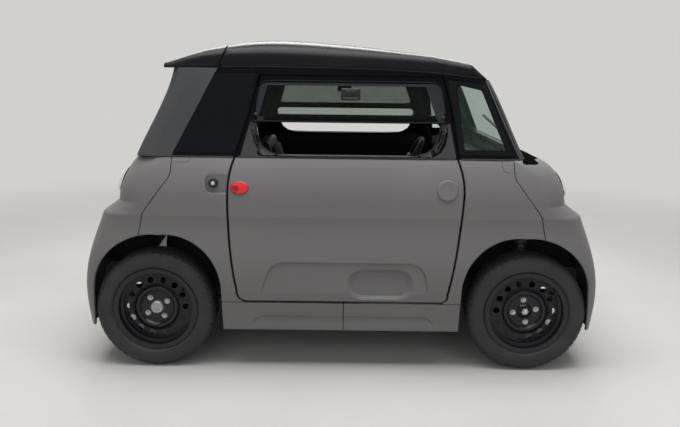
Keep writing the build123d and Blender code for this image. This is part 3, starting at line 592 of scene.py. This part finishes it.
# ---------- door windows ----------
# the lower edge of the door's open window, rear to front
WINDOW_FOOT = ((-0.392, 1.151), (-0.388, 1.118), (-0.379, 1.07), (-0.36, 1.035), (-0.33, 1.014), (-0.29, 1.004),
               (-0.2, 1.0025), (0, 1.0025), (0.24, 1.0025), (0.33, 1.004), (0.375, 1.014), (0.405, 1.036),
               (0.424, 1.072), (0.436, 1.116), (0.443, 1.151))
FOOT_LOW, BAR_Z, BELT_SEAL_Z = 0.9935, 1.153, 0.9945
LATCH_AT, BUTTON_AT, COVER_AT = (0.0317, 1.274), (-0.46, 0.86), (0.4694, 0.8588)       # (x, z) on the door
LATCH_LEAN, BUTTON_LEAN, COVER_LEAN = 8.5, -8.5, -9                  # degrees
LOCK_AT = (-0.578, -0.6595, 0.88)


def foot_line(grow):
    out, last = [], len(WINDOW_FOOT) - 1
    for i, (x, z) in enumerate(WINDOW_FOOT):
        t = (Vector(WINDOW_FOOT[min(last, i + 1)]) - Vector(WINDOW_FOOT[max(0, i - 1)])).normalized()
        out.append((x + t.y * grow, max(z - t.x * grow, FOOT_LOW)))
    return out


for tag, grow, radius, lift, look in (("inner", 0.001, 0.0042, 0.001, "rubber"),
                                      ("mid", 0.012, 0.0022, 0.0006, "plastic"),
                                      ("outer", 0.023, 0.0026, 0.0006, "rubber")):
    on_doors("window_seal_" + tag, tube(side_path(foot_line(grow), lift), radius), look)
# the corner patches are body paint, darkened as painted shade
for tag, outline in (
        ("rear", ((-0.4158, 1.15), (-0.432, 1.1), (-0.456, 1.009), (-0.4585, 0.9985), (-0.34, 0.9985),
                  (-0.372, 1.02), (-0.395, 1.0562), (-0.408, 1.105), (-0.412, 1.15))),
        ("front", ((0.466, 1.15), (0.47, 1.105), (0.461, 1.058), (0.44, 1.022), (0.398, 0.9985),
                   (0.508, 0.9985), (0.504, 1.02), (0.486, 1.11), (0.478, 1.15)))):
    on_doors("window_gusset_" + tag, side_patch(outline, 0.0016, 0.012), "gusset", "body_paint")
on_doors("window_band", side_patch(foot_line(0.0245) + foot_line(0.0005)[::-1], 0.0012, 0.012), "plastic",
         "frame_black")
BAR = [(x, BAR_Z) for x in (-0.404, -0.2, 0, 0.25, 0.462)]
on_doors("window_bar_lip", tube(side_path(BAR, 0.003, 0.02), 0.0042), "trim")
FLAP_EDGE = round_path(((-0.4, 1.166), (-0.372, 1.332), (0.434, 1.332), (0.464, 1.166)), 0.045)
on_doors("flap_edge", tube(side_path(FLAP_EDGE, 0, 0.012, True, FLAP), 0.0024, closed=True), "trim", "tinted_glass")
STUD = lathe(((-0.004, 0), (-0.004, 0.0065), (0.002, 0.0065), (0.0036, 0.005), (0.0036, 0.0022), (0.0026, 0.0016),
              (0.0026, 0)), 24)
for tag, x, z, tree in (("rear_high", -0.392, 1.186, FLAP), ("rear_low", -0.404, 1.122, SKIN),
                        ("front_high", 0.447, 1.18, FLAP), ("front_low", 0.459, 1.118, SKIN)):
    on_doors("flap_screw_" + tag, placed(STUD, move(*on_side(x, z, 0.003, tree))), "bead", "lock_metal")
latch_place = move(*on_side(*LATCH_AT, 0, FLAP)) @ turn(LATCH_LEAN, "X")
latch = merged(rounded_box((-0.043, -0.014, -0.024), (0.043, 0, 0.03), 0.007, 4),
               rounded_box((-0.036, -0.02, -0.021), (0.036, -0.012, -0.008), 0.003),
               rounded_box((-0.024, -0.017, 0.002), (0.024, -0.012, 0.022), 0.0025))
on_doors("flap_latch", placed(latch, latch_place), "plastic")
pull = rounded_box((-0.034, -0.0225, -0.0145), (0.034, -0.0195, -0.0105), 0.001)
on_doors("flap_latch_pull", placed(pull, latch_place), "bead")

# ---------- doors: release button, lock, seal, hinge cover ----------
button_place = move(*on_side(*BUTTON_AT)) @ turn(BUTTON_LEAN, "X")
surround = lathe(((-0.004, 1), (0.0015, 1), (0.003, 0.94), (0.0014, 0.9), (-0.004, 0.9)), 56, (0.0415, 0.0295),
                 False)
button = lathe(((-0.004, 0), (-0.004, 1), (0.003, 1), (0.0065, 0.93), (0.0085, 0.7), (0.0092, 0.35), (0.0094, 0)), 56,
               (0.0385, 0.0268))
finger = lathe(((0.0075, 0), (0.0075, 1), (0.0112, 1), (0.012, 0.9), (0.01, 0.6), (0.0092, 0)), 56,
               (0.0145, 0.015))
on_doors("release_surround", placed(surround, button_place), "dark_red", None)
on_doors("release_button", placed(button, button_place), "red", None)
on_doors("release_finger", placed(finger, button_place @ move(-0.0165)), "dark_red", None)
lock_place = move(*LOCK_AT)
ring = lathe(((0, 0.0088), (0, 0.0225), (0.008, 0.0225), (0.012, 0.02), (0.0125, 0.0165), (0.0105, 0.0125),
              (0.01, 0.0088)), 48)
core = merged(lathe(((0, 0), (0, 0.0086), (0.0132, 0.0086), (0.0142, 0.0074), (0.0142, 0)), 36),
              rounded_box((-0.0008, -0.015, -0.0045), (0.0008, -0.0135, 0.0045), 0.0003, 1))
on_body("lock_ring", placed(ring, lock_place), "plastic", flip=HALF_TURN)
on_body("lock_core", placed(core, lock_place), "lock", "lock_metal", HALF_TURN)


ARC_STEPS = 12


def arc_points(a, m, b):
    # points along the circle through three (x, z) points, without the last
    (ax, az), (mx, mz), (bx, bz) = a, m, b
    d = 2 * (ax * (mz - bz) + mx * (bz - az) + bx * (az - mz))
    sa, sm, sb = ax * ax + az * az, mx * mx + mz * mz, bx * bx + bz * bz
    ux = (sa * (mz - bz) + sm * (bz - az) + sb * (az - mz)) / d
    uz = (sa * (bx - mx) + sm * (ax - bx) + sb * (mx - ax)) / d
    radius = math.hypot(ax - ux, az - uz)
    t0, t1, t2 = [math.atan2(z - uz, x - ux) for x, z in (a, m, b)]
    span = (t2 - t0) % math.tau
    if (t1 - t0) % math.tau >= span:
        span = -((t0 - t2) % math.tau)
    round_it = [t0 + span * k / ARC_STEPS for k in range(ARC_STEPS)]
    return [(ux + radius * math.cos(t), uz + radius * math.sin(t)) for t in round_it]


def linear_at(table, x):
    for a, b in zip(table, table[1:]):
        if x <= b[0]:
            return a[1] + (b[1] - a[1]) * (x - a[0]) / (b[0] - a[0])
    return table[-1][1]


# height, and the body's half width there
SIDE_TABLE = ((0.19, 0.652), (0.34, 0.68), (0.48, 0.695), (0.62, 0.684), (0.73, 0.681), (0.79, 0.679),
              (0.87, 0.671), (0.94, 0.653), (0.992, 0.632), (1.12, 0.605), (1.26, 0.585), (1.385, 0.563))
# the door's outline in side view: arcs through each pair of points and one between them, closed
DOOR_ARCS = ((-0.373, 1.352), (-0.416, 1.2), (-0.481, 1.002), (-0.506, 0.92), (-0.514, 0.832), (-0.505, 0.58),
             (-0.478, 0.391), (-0.467, 0.352), (-0.43, 0.335), (0.009, 0.3351), (0.448, 0.335), (0.476, 0.346),
             (0.486, 0.38), (0.524, 0.6), (0.545, 0.832), (0.539, 0.912), (0.519, 0.983), (0.483, 1.19),
             (0.442, 1.352), (0.035, 1.3521), (-0.373, 1.352))
SEAL_INSET = 0.0465
# the hinge arms pass through the seal's front edge at these heights, so it stops short of them
ARM_EDGE = 0.5
LOW_ARM, HIGH_ARM = (0.644, 0.736), (0.795, 0.887)
door_ring = [p for i in range(0, len(DOOR_ARCS) - 1, 2) for p in arc_points(*DOOR_ARCS[i:i + 3])]
seal_ring = resampled(grown(door_ring, 0.004), 0.009)
start = next(i for i, (x, z) in enumerate(seal_ring) if x > ARM_EDGE and z > HIGH_ARM[1])
seal_ring = seal_ring[start:] + seal_ring[:start]
long_run = [(x, z) for x, z in seal_ring if x < ARM_EDGE or z > HIGH_ARM[1] or z < LOW_ARM[0]]
short_run = [(x, z) for x, z in seal_ring if x > ARM_EDGE and LOW_ARM[1] < z < HIGH_ARM[0]]
seal = merged(*(tube([(x, SEAL_INSET - linear_at(SIDE_TABLE, z), z) for x, z in run], 0.0145, 12, 0.45)
                for run in (long_run, short_run)))
on_body("door_seal", seal, "rubber", flip=HALF_TURN)
cover = lathe(((-0.004, 0), (-0.004, 0.0475), (0.0025, 0.0475), (0.005, 0.0462), (0.0062, 0.043),
               (0.0058, 0.038), (0.005, 0)), 72)
cover_place = move(*on_side(*COVER_AT)) @ turn(COVER_LEAN, "X")
on_doors("hinge_cover", placed(cover, cover_place), "body", "body_paint", 60)
for tag, line in (
        ("rear", ((-0.686, 0.9905), (-0.6835, 0.9848), (-0.687, 0.976), (-0.6985, 0.9706), (-0.7567, 0.97))),
        ("front", ((0.712, 0.9905), (0.7135, 0.9676), (0.7166, 0.95), (0.7298, 0.9409), (0.7853, 0.9397)))):
    on_body("belt_cap_seam_" + tag, tube(side_path(line, -0.0004, 0.006), 0.0012, 6), "rubber")

# ---------- roof: the solid's form with its shoulder rounded ----------
# x, half width at the foot, fall of the crown below the top, reach of the rounded shoulder
ROOF_TABLE = ((-0.81, 0.535, 0.112, 0.02), (-0.62, 0.556, 0.042, 0.036), (-0.36, 0.563, 0.002, 0.066),
              (0, 0.563, 0.019, 0.058), (0.4, 0.56, 0.064, 0.032), (0.65, 0.545, 0.118, 0.024))
HALF, FALL, REACH = 1, 2, 3
# x, height of the side's foot
FOOT_TABLE = ((-0.82, 1.385), (0, 1.385), (0.2, 1.381), (0.4, 1.371), (0.64, 1.347), (0.8, 1.33))
ROOF_TOP, ROOF_EDGE, ROOF_WALL = 1.52, 1.385, 0.008
SIDE_LEAN, SHOULDER_SHARE = 0.2, 0.15
FACE_START, FACE_END = 0.574, 0.64         # the roof's front face comes down between these
STATIONS = (-0.81, -0.8, -0.775, -0.74, -0.7, -0.66, -0.62, -0.57, -0.52, -0.46, -0.4, -0.34, -0.28,
            -0.22, -0.15, -0.08, 0, 0.08, 0.16, 0.24, 0.32, 0.4, 0.46, 0.52, 0.56, 0.572, 0.576, 0.59,
            0.605, 0.62, 0.636, 0.64)


def smooth_at(table, x, column):
    # Catmull-Rom through the table's rows
    xs = [row[0] for row in table]
    i = max(0, min(len(xs) - 2, sum(1 for v in xs if v <= x) - 1))
    t = (x - xs[i]) / (xs[i + 1] - xs[i])
    a, b, c, d = [table[max(0, min(len(table) - 1, i + k))][column] for k in (-1, 0, 1, 2)]
    if i == 0:
        a = 2 * b - c
    if i == len(xs) - 2:
        d = 2 * c - b
    return 0.5 * (2 * b + (c - a) * t + (2 * a - 5 * b + 4 * c - d) * t * t + (3 * b - a - 3 * c + d) * t ** 3)


def roof_section(x):
    # the roof's cross section as (y, z): its side, a rounded shoulder and the crown, from right to left
    half, foot = smooth_at(ROOF_TABLE, x, HALF), linear_at(FOOT_TABLE, x)
    top = ROOF_TOP - smooth_at(ROOF_TABLE, min(x, FACE_START), FALL)
    shoulder = top - SHOULDER_SHARE * (top - ROOF_EDGE)
    if x > FACE_START:
        share = (x - FACE_START) / (FACE_END - FACE_START)
        end = foot + 0.004
        top, shoulder = top + (end + 0.002 - top) * share, shoulder + (end - shoulder) * share
    edge = half - SIDE_LEAN * (shoulder - ROOF_EDGE)
    low = Vector((-(half + SIDE_LEAN * (ROOF_EDGE - foot)), foot))
    corner = Vector((-edge, shoulder))
    reach = min(smooth_at(ROOF_TABLE, x, REACH), 0.8 * (corner - low).length)
    start = corner + (low - corner).normalized() * reach

    def crown(y):
        return Vector((y, shoulder + (top - shoulder) * (1 - (y / edge) ** 2)))

    end = crown(-edge + reach * 1.5)
    points = [low.lerp(start, k / 4) for k in range(4)] + [bent(start, corner, end, k / 8) for k in range(8)]
    points += [crown(end.x * (1 - k / 8)) for k in range(9)]
    return points + [Vector((-p.x, p.y)) for p in reversed(points[:-1])]


roof_rows = [[Vector((x, p.x, p.y)) for p in roof_section(x)] for x in STATIONS]
roof_tail = [Vector((STATIONS[0] - 0.0005, p.y, min(p.z, ROOF_EDGE + 0.0012))) for p in roof_rows[0]]
roof_rows = [roof_tail] + roof_rows
bm = bm_of(to_mesh([p for row in roof_rows for p in row], grid_faces(len(roof_rows), len(roof_tail))))
if sum(f.normal.z for f in bm.faces) < 0:
    bmesh.ops.reverse_faces(bm, faces=bm.faces)
bmesh.ops.solidify(bm, geom=bm.faces[:], thickness=ROOF_WALL)
under, (low, high) = [], (ROOF_EDGE + 0.0006, ROOF_EDGE + 0.003)
for x in (-0.808, -0.74, -0.66, -0.58):
    half = smooth_at(ROOF_TABLE, x, HALF) - 0.01
    under += [(x, -half, low), (x, half, low), (x, half, high), (x, -half, high)]
under_mesh = to_mesh(under, grid_faces(4, 4, True) + [(0, 1, 2, 3), (12, 13, 14, 15)])
roof_mesh = merged(from_bm(bm), under_mesh)
roof_piece = piece("roof_shell", roof_mesh, "roof", angle=30)
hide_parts("roof_panel")
ROOF = tree_of(roof_mesh)

# ---------- rear pillars, roof seams, windscreen trims ----------
PILLAR_SEAM = ((-0.7625, 0.998), (-0.67, 1.178), (-0.574, 1.356), (-0.56, 1.388), (-0.548, 1.43),
               (-0.524, 1.478))
on_body("pillar_seam", tube(side_path(PILLAR_SEAM, 0.0006, 0.015), 0.0034, 8), "gloss", "frame_black")
across = [k / 20 for k in range(-20, 21)]           # shares of the way out from the middle
rear_line = [from_above(-0.52 - 0.006 * u ** 2, 0.5 * u, 0.0002, ROOF) for u in across]
piece("roof_rear_seam", tube(rear_line, 0.0026), "rubber")
front_line = [from_above(FACE_START, 0.49 * u, 0.0002, ROOF) for u in across]
piece("roof_front_seam", tube(front_line, 0.0024), "rubber")
RIB_FROM, RIB_LENGTH, RIB_SUNK = -0.44, 0.85, 0.0062          # along x, and its middle's depth under the skin
for k, y in enumerate((-0.3, -0.1, 0.1, 0.3)):
    rib = [from_above(RIB_FROM + RIB_LENGTH * j / 24, y, -RIB_SUNK, ROOF) for j in range(25)]
    piece(f"roof_rib_{k}", tube(rib, 0.008, 12), "roof")
GUTTER = ((-0.545, 1.3895), (-0.36, 1.3915), (0, 1.3875), (0.2, 1.3835), (0.4, 1.3735), (0.63, 1.35))
on_body("roof_gutter", tube(side_path(GUTTER, 0.0005, 0.02), 0.0032, 8), "trim")
POST = ((0.798, 0.9985), (0.735, 1.13), (0.67, 1.27), (0.64, 1.34), (0.66, 1.343), (0.698, 1.27),
        (0.763, 1.13), (0.823, 0.9985))
on_body("windscreen_post", side_patch(POST, 0.002, 0.016), "cloth", "frame_black")
POST_BEAD = ((0.796, 0.999), (0.733, 1.13), (0.668, 1.27), (0.64, 1.335))
on_body("windscreen_bead", tube(side_path(POST_BEAD, 0.0012, 0.015), 0.0026, 8), "bead")
for tag, xs, radius, place in (("_rear", (-0.93, -0.76, -0.6, -0.492), 0.0034, on_body),
                               ("_front", (0.53, 0.65, 0.76, 0.825), 0.0034, on_body),
                               ("", (-0.47, -0.2, 0.1, 0.505), 0.003, on_doors)):
    place("belt_seal" + tag, tube(side_path([(x, BELT_SEAL_Z) for x in xs], 0.0004, 0.02), radius, 8), "rubber")

# ---------- wiper ----------
PIVOT = Vector((0.862, -0.2, 0.9925))
BLADE_Y, BLADE_Z, BLADE_SPAN, BLADE_RISE = -0.44, 1.04, 0.6, 0.1
blade, spine = [[on_screen(BLADE_Y + BLADE_SPAN * k / 20, BLADE_Z + BLADE_RISE * k / 20, lift) for k in range(21)]
                for lift in (0.0085, 0.015)]
arm_end = on_screen(-0.14, 1.09, 0.022)
arm = tube([PIVOT + Vector((0, 0, 0.022)), PIVOT + Vector((-0.012, 0.005, 0.04)),
            PIVOT.lerp(arm_end, 0.5) + Vector((0.006, 0, 0.02)), arm_end], 0.0055, 10, 0.6)
boss = lathe(((0, 0), (0, 0.019), (0.02, 0.017), (0.03, 0.014), (0.033, 0.009), (0.033, 0)), 32)
piece("wiper_arm", merged(arm, placed(boss, move(*PIVOT) @ turn(-90, "X"))), "plastic")
piece("wiper_blade", merged(tube(blade, 0.004, 8), tube(spine, 0.005, 8, 0.7)), "rubber")

# ---------- lamps ----------
LAMP_Y, LAMP_Z = 0.48, 0.853
RING_Z = LAMP_Z + 0.0165
RING_HALF, RING_POWER, RING_STEPS = (0.069, 0.061), 3.2, 48
# share of the ring's outline, distance out
HOUSING = ((1.02, 0.000), (1.02, 0.004), (1.00, 0.006), (0.975, 0.006), (0.965, 0.003), (0.96, 0.000))
COVER = ((0.965, 0.003), (0.96, 0.013), (0.92, 0.0175), (0.45, 0.02), (0.05, 0.0202))
BOWL = lathe(((0, 0), (0, 0.025), (0.0032, 0.025), (0.0044, 0.0222), (0.0022, 0.0195), (0.0014, 0.01),
              (0.0034, 0.0075), (0.0042, 0)), 40)


def lamp_ring(sign, end, share, lift):
    ring = []
    for a in angles(RING_STEPS):
        y, z = math.cos(a), math.sin(a)
        reach = share / sum(abs(v / half) ** RING_POWER for v, half in zip((y, z), RING_HALF)) ** (1 / RING_POWER)
        at = on_end(sign * LAMP_Y + y * reach, RING_Z + z * reach, end, 0, NOSE)
        ring.append(at + Vector((end * lift, 0, 0)))
    return ring


def lamp_loft(sign, end, rows, wrap=False):
    # rings joined one to the next, the last to the first with wrap, or else closed by a face
    verts = [p for row in rows for p in lamp_ring(sign, end, *row)]
    faces = grid_faces(len(rows), RING_STEPS, True, wrap)
    return to_mesh(verts, faces if wrap else faces + [range(len(verts) - RING_STEPS, len(verts))])


for end, tag, unit_look in ((1, "front", "chrome"), (-1, "rear", "dark_red")):
    for sign, side in ((-1, "right"), (1, "left")):
        lamp = f"{side}_{tag}_lamp"
        piece(lamp + "_housing", lamp_loft(sign, end, HOUSING, True), "gloss")
        piece(lamp + "_cover", lamp_loft(sign, end, COVER), "lens")
        for j, dy in enumerate((-0.031, 0.031)):
            at = on_end(sign * LAMP_Y + dy, LAMP_Z, end, 0.0012, LENSES)
            unit = placed(BOWL, move(*at) @ turn(90 * end, "Z") @ turn(-20, "X"))
            piece(f"{lamp}_unit_{j}", unit, unit_look)

# ---------- cowl's painted shade, joints of the shells, small plates ---
# a black sheet laid on the upper panel in front of the windscreen: painted shade of the cowl's opening
shade_sheet = [from_above(0.85 + (0.075 - 0.055 * abs(u / 12) ** 3) * v, 0.045 * u * (1 - 0.1 * v), 0.0012, SKIN)
         for v in (0, 0.25, 0.5, 0.75, 1.0) for u in range(-12, 13)]
piece("cowl_shade_sheet", to_mesh(shade_sheet, grid_faces(5, 25)), "void")


BAND_MIDDLE, BAND_REACH, BAND_STEPS = 0.55, 62.7, 48       # the x it turns about, degrees to each side
BAND_LEVELS = (0.727, 0.735, 0.741, 0.749)


def shell_band(end):
    # the moulded roll that covers the joint between the upper panel and the lower shell
    points = []
    for k in range(-BAND_STEPS, BAND_STEPS + 1):
        a = math.radians(BAND_REACH * k / BAND_STEPS)
        out = Vector((end * math.cos(a), math.sin(a), 0))
        low, under, over, high = [SKIN.ray_cast(Vector((end * BAND_MIDDLE, 0, z)) + out * 1.2, -out)[0]
                                  for z in BAND_LEVELS]
        crest = (under + over) / 2
        points.append([p + out * forth + Vector((0, 0, rise)) for p, forth, rise in (
            (low, 0.0003, 0), (under, 0.0011, 0), (crest, 0.0011, 0.0011), (over, 0.0009, 0.0006),
            (high, 0.0002, 0.0003))])
    return to_mesh([column[row] for row in range(5) for column in points], grid_faces(5, len(points)))


# black patches on the sides at the cowl's corners: painted shade of the opening there
COWL_SHADE_OUTLINE = ((0.806, 0.9916), (0.868, 0.9916), (0.8835, 0.9785), (0.874, 0.9745), (0.82, 0.9765), (0.806, 0.9815))
on_body("cowl_shade_patch", side_patch(round_path(COWL_SHADE_OUTLINE, 0.002), 0.0024, 0.005), "void")
bump = [(x, y, z) for y in (-0.49, -0.488) for x, z in ((-0.833, 0.605), (-0.8383, 0.541), (-0.8738, 0.543))]
on_body("bump_plate", to_mesh(bump, [(0, 1, 2), (5, 4, 3), (0, 3, 4, 1), (1, 4, 5, 2), (2, 5, 3, 0)]), "white",
        "chassis_steel")
skirt = to_mesh([(x, y, z) for x in (-0.73, -0.6) for y in (-0.357, -0.355) for z in (0.33, 0.448)],
                [(0, 1, 3, 2), (4, 6, 7, 5), (0, 4, 5, 1), (2, 3, 7, 6), (0, 2, 6, 4), (1, 5, 7, 3)])
on_body("arch_skirt", skirt, "plastic")
for end, tag in ((1, "front"), (-1, "rear")):
    piece(tag + "_shell_band", shell_band(end), "body", angle=60)


# ---------- interior ----------
def cushion(low, high, crown, channels):
    # a padded form: a grid box whose top bulges, with sewn channels along it
    bm = bmesh.new()
    bmesh.ops.create_cube(bm, size=2)
    bmesh.ops.subdivide_edges(bm, edges=bm.edges, cuts=15, use_grid_fill=True)
    half = [(b - a) / 2 for a, b in zip(low, high)]
    middle = Vector([(a + b) / 2 for a, b in zip(low, high)])
    for v in bm.verts:
        u, w, h = v.co
        plump = (1 - abs(u) ** 2.6) * (1 - abs(w) ** 2.6)
        seam = sum(0.01 * math.exp(-((w * half[1] - c) / 0.006) ** 2) for c in channels)
        lift = crown * plump - seam * plump ** 0.3 if plump > 0 else 0.0
        side = 1 - 0.05 * (abs(u) ** 4 * abs(w) ** 4)
        flat = 1 - 0.3 * max(abs(u), abs(w)) ** 8
        v.co = middle + Vector((u * half[0] * side, w * half[1] * side, h * half[2] * flat + (lift if h > 0 else 0)))
    return from_bm(bm)


for side, sx, sy in (("right", 0.02, -0.27), ("left", 0.06, 0.27)):
    base = cushion((-0.175, -0.205, -0.012), (0.175, 0.205, 0.018), 0.022, (-0.13, -0.065, 0, 0.065, 0.13))
    back = cushion((-0.205, -0.195, -0.01), (0.205, 0.195, 0.014), 0.014, (-0.12, -0.06, 0, 0.06, 0.12))
    for tag, pad, place in (("cushion", base, move(sx - 0.12, sy, 0.5085) @ turn(-2.8, "Y")),
                            ("back_pad", back, move(sx - 0.389, sy, 0.76) @ turn(74.9, "Y"))):
        o = piece(f"{side}_seat_{tag}", placed(pad, place), "pad")
    mid = sy - math.copysign(0.23, sy)
    buckle = rounded_box((sx - 0.3, mid - 0.015, 0.47), (sx - 0.26, mid + 0.015, 0.56))
    piece(side + "_belt_buckle", buckle, "plastic")
piece("instrument_hood", rounded_box((0.545, 0.175, 0.93), (0.64, 0.365, 0.985), 0.022, 5), "plastic")
screen = rounded_box((0.5425, 0.205, 0.942), (0.546, 0.335, 0.976), 0.0012, 2)
piece("instrument_screen", screen, "gloss")
for k, (y0, y1) in enumerate(((-0.5, -0.2), (-0.18, 0.12), (0.42, 0.52))):
    tray = rounded_box((0.6, y0, 0.9385), (0.76, y1, 0.95), 0.004)
    tray_mat = rounded_box((0.612, y0 + 0.012, 0.9495), (0.748, y1 - 0.012, 0.952), 0.001, 1)
    piece(f"dash_tray_{k}", merged(tray, tray_mat), "plastic")
for k, y in enumerate((-0.42, -0.1, 0.03, 0.47)):
    slats = [rounded_box((0.518, y - 0.045, z), (0.56, y + 0.045, z + 0.005), 0.0015, 1)
             for z in (0.835 + 0.013 * j for j in range(4))]
    piece(f"dash_vent_{k}", merged(*slats), "plastic")
STEER_Y, STEER_RIM = 0.27, 0.165
steer_place = move(0.38, STEER_Y, 0.85) @ turn(-65, "Y")
boss = rounded_box((-0.062, -0.07, 0.006), (0.062, 0.07, 0.03), 0.014, 4)
piece("steering_boss", placed(boss, steer_place), "plastic", "steering_wheel")
band = lathe(((-0.003, 0.0134), (-0.003, 0.0142), (0.003, 0.0142), (0.003, 0.0134)), 20)
bands = [placed(band, steer_place @ turn(45 * k, "Z") @ move(STEER_RIM)) for k in range(8)]
piece("steering_grip_rings", merged(*bands), "rubber", "steering_wheel")
for tag, sign in (("turn_lever", 1), ("wiper_lever", -1)):
    stalk = [(x, STEER_Y + sign * out, z) for x, out, z in (
        (0.445, 0.022, 0.82), (0.44, 0.08, 0.832), (0.428, 0.145, 0.842))]
    piece(tag, tube(stalk, 0.0065), "plastic")
for tag, y in (("brake_pedal", 0.26), ("go_pedal", 0.16)):
    leg = tube([(0.778, y, 0.56), (0.735, y, 0.43), (0.715, y, 0.33)], 0.007)
    foot = rounded_box((0.695, y - 0.03, 0.3), (0.712, y + 0.03, 0.37), 0.004)
    piece(tag, merged(leg, foot), "cast")
mats = [rounded_box((0.02, y, 0.2401), (0.48, y + 0.51, 0.2475), 0.003, 2) for y in (0.05, -0.56)]
piece("floor_mats", merged(*mats), "pad")


# ---------- springs and brakes ----------
def helix(origin, axis, low, high, radius, turns, wire):
    w = Vector(axis).normalized()
    u = Vector((1, 0, 0))
    v = w.cross(u).normalized()
    steps = int(turns * 24)
    pts = []
    for k in range(steps + 1):
        a = math.tau * turns * k / steps
        around = (u * math.cos(a) + v * math.sin(a)) * radius
        pts.append(Vector(origin) + w * (low + (high - low) * k / steps) + around)
    return tube(pts, wire, 8)


KINGPIN_Y, KINGPIN_LEAN = 0.515, math.radians(12)
CALIPER_Y = 0.5745
SHOCK_X, SHOCK_Y = -0.87, 0.43
for sign, side in ((-1, "right"), (1, "left")):
    knuckle = f"front_{side}_knuckle"
    leaning = (0, -sign * math.sin(KINGPIN_LEAN), math.cos(KINGPIN_LEAN))
    spring = helix((AXLE, sign * KINGPIN_Y, RIDE), leaning, 0.262, 0.352, 0.034, 4.5, 0.0042)
    piece(f"front_{side}_spring", spring, "chassis", knuckle)
    caliper = rounded_box((AXLE - 0.088, sign * CALIPER_Y - 0.02, RIDE - 0.045),
                          (AXLE - 0.06, sign * CALIPER_Y + 0.02, RIDE + 0.045), 0.008)
    piece(f"front_{side}_caliper", caliper, "cast", knuckle)
    spring = helix((SHOCK_X, sign * SHOCK_Y, 0), (0, 0, 1), 0.36, 0.6, 0.033, 6.5, 0.0045)
    piece(f"rear_{side}_spring", spring, "chassis")

# ---------- stage, light and camera ----------
BACKDROP = (0.64, 0.632, 0.615, 1)
bpy.ops.mesh.primitive_plane_add(size=60, location=(0, 0, 0))
floor = bpy.context.object
floor.name = "studio_floor"
floor.data.materials.append(M["floor"])
# far off, the floor fades to the backdrop's own brightness for rays that only look at it
t = M["floor"].node_tree
far = made(t, "VectorMath", (made(t, "NewGeometry").outputs["Position"],), operation="LENGTH").outputs["Value"]
fade = made(t, "MapRange", {"Value": far, "From Min": 1.5, "From Max": 6.5}, interpolation_type="SMOOTHERSTEP")
rays = made(t, "LightPath").outputs
looking = math_of(t, "MAXIMUM", math_of(t, "MAXIMUM", rays["Is Camera Ray"], rays["Is Glossy Ray"]),
                  rays["Is Transmission Ray"])
mixed(t, math_of(t, "MULTIPLY", looking, fade.outputs["Result"]), t.nodes["Principled BSDF"].outputs[0],
      made(t, "Emission", (BACKDROP,)).outputs[0])
for name, place, aim, power, color, width, depth, shines in (
        ("ceiling", (0, -0.9, 4.4), (0, -0.3, 0.4), 330, (1.0, 0.995, 0.98), 5.0, 3.0, True),
        ("ceiling_back", (0, 3.4, 3.6), (0, 0.2, 0.9), 150, (1.0, 0.995, 0.98), 5.0, 2.0, True),
        ("side_key", (-1.8, -5.2, 2.6), (0, -0.3, 0.6), 55, (1.0, 0.99, 0.975), 3.4, 2.2, False),
        ("side_fill", (2.6, -4.8, 2.2), (0, 0, 0.6), 38, (0.98, 0.99, 1.0), 3.0, 2.0, False)):
    data = bpy.data.lights.new(name, "AREA")
    data.shape = "RECTANGLE"
    data.size, data.size_y = width, depth
    data.energy, data.color = power, color
    lamp = bpy.data.objects.new(name, data)
    bpy.context.collection.objects.link(lamp)
    lamp.location = place
    lamp.rotation_euler = (Vector(aim) - Vector(place)).to_track_quat("-Z", "Y").to_euler()
    lamp.visible_glossy = shines
scene = bpy.context.scene
scene.world = scene.world or bpy.data.worlds.new("World")
scene.world.use_nodes = True
t = scene.world.node_tree
lit = t.nodes["Background"]
lit.inputs[0].default_value = (0.9, 0.9, 0.92, 1)
lit.inputs[1].default_value = 0.34
# mirror-like rays see a pale wall behind the car and a dimmer one toward the front, as in a studio bay
ahead = made(t, "SeparateXYZ", (made(t, "TexCoord").outputs["Generated"],)).outputs["Y"]
wall = made(t, "MapRange", {"Value": ahead, "From Min": -0.3, "From Max": 0.6, "To Min": 0, "To Max": 0.95})
rays = made(t, "LightPath").outputs
looking = math_of(t, "MAXIMUM", rays["Is Camera Ray"], rays["Is Transmission Ray"])
shining = math_of(t, "MULTIPLY", rays["Is Glossy Ray"], wall.outputs["Result"])
mixed(t, math_of(t, "MAXIMUM", looking, shining), lit.outputs[0], made(t, "Background", (BACKDROP,)).outputs[0],
      "World Output")
cam_data = bpy.data.cameras.new("camera")
cam = bpy.data.objects.new("camera", cam_data)
bpy.context.collection.objects.link(cam)
cam_data.sensor_width = 36.0
cam_data.lens = 38.74
cam_data.clip_end = 200
cam.location = (-0.0094, -3.8914, 1.3977)
YAW, PITCH, ROLL = math.radians(-0.006), math.radians(11.373), math.radians(0.688)
forward = Vector((math.sin(YAW) * math.cos(PITCH), math.cos(YAW) * math.cos(PITCH), -math.sin(PITCH)))
cam.rotation_mode = "QUATERNION"
cam.rotation_quaternion = forward.to_track_quat("-Z", "Y") @ Matrix.Rotation(ROLL, 3, "Z").to_quaternion()
scene.camera = cam
scene.view_settings.view_transform = "Standard"
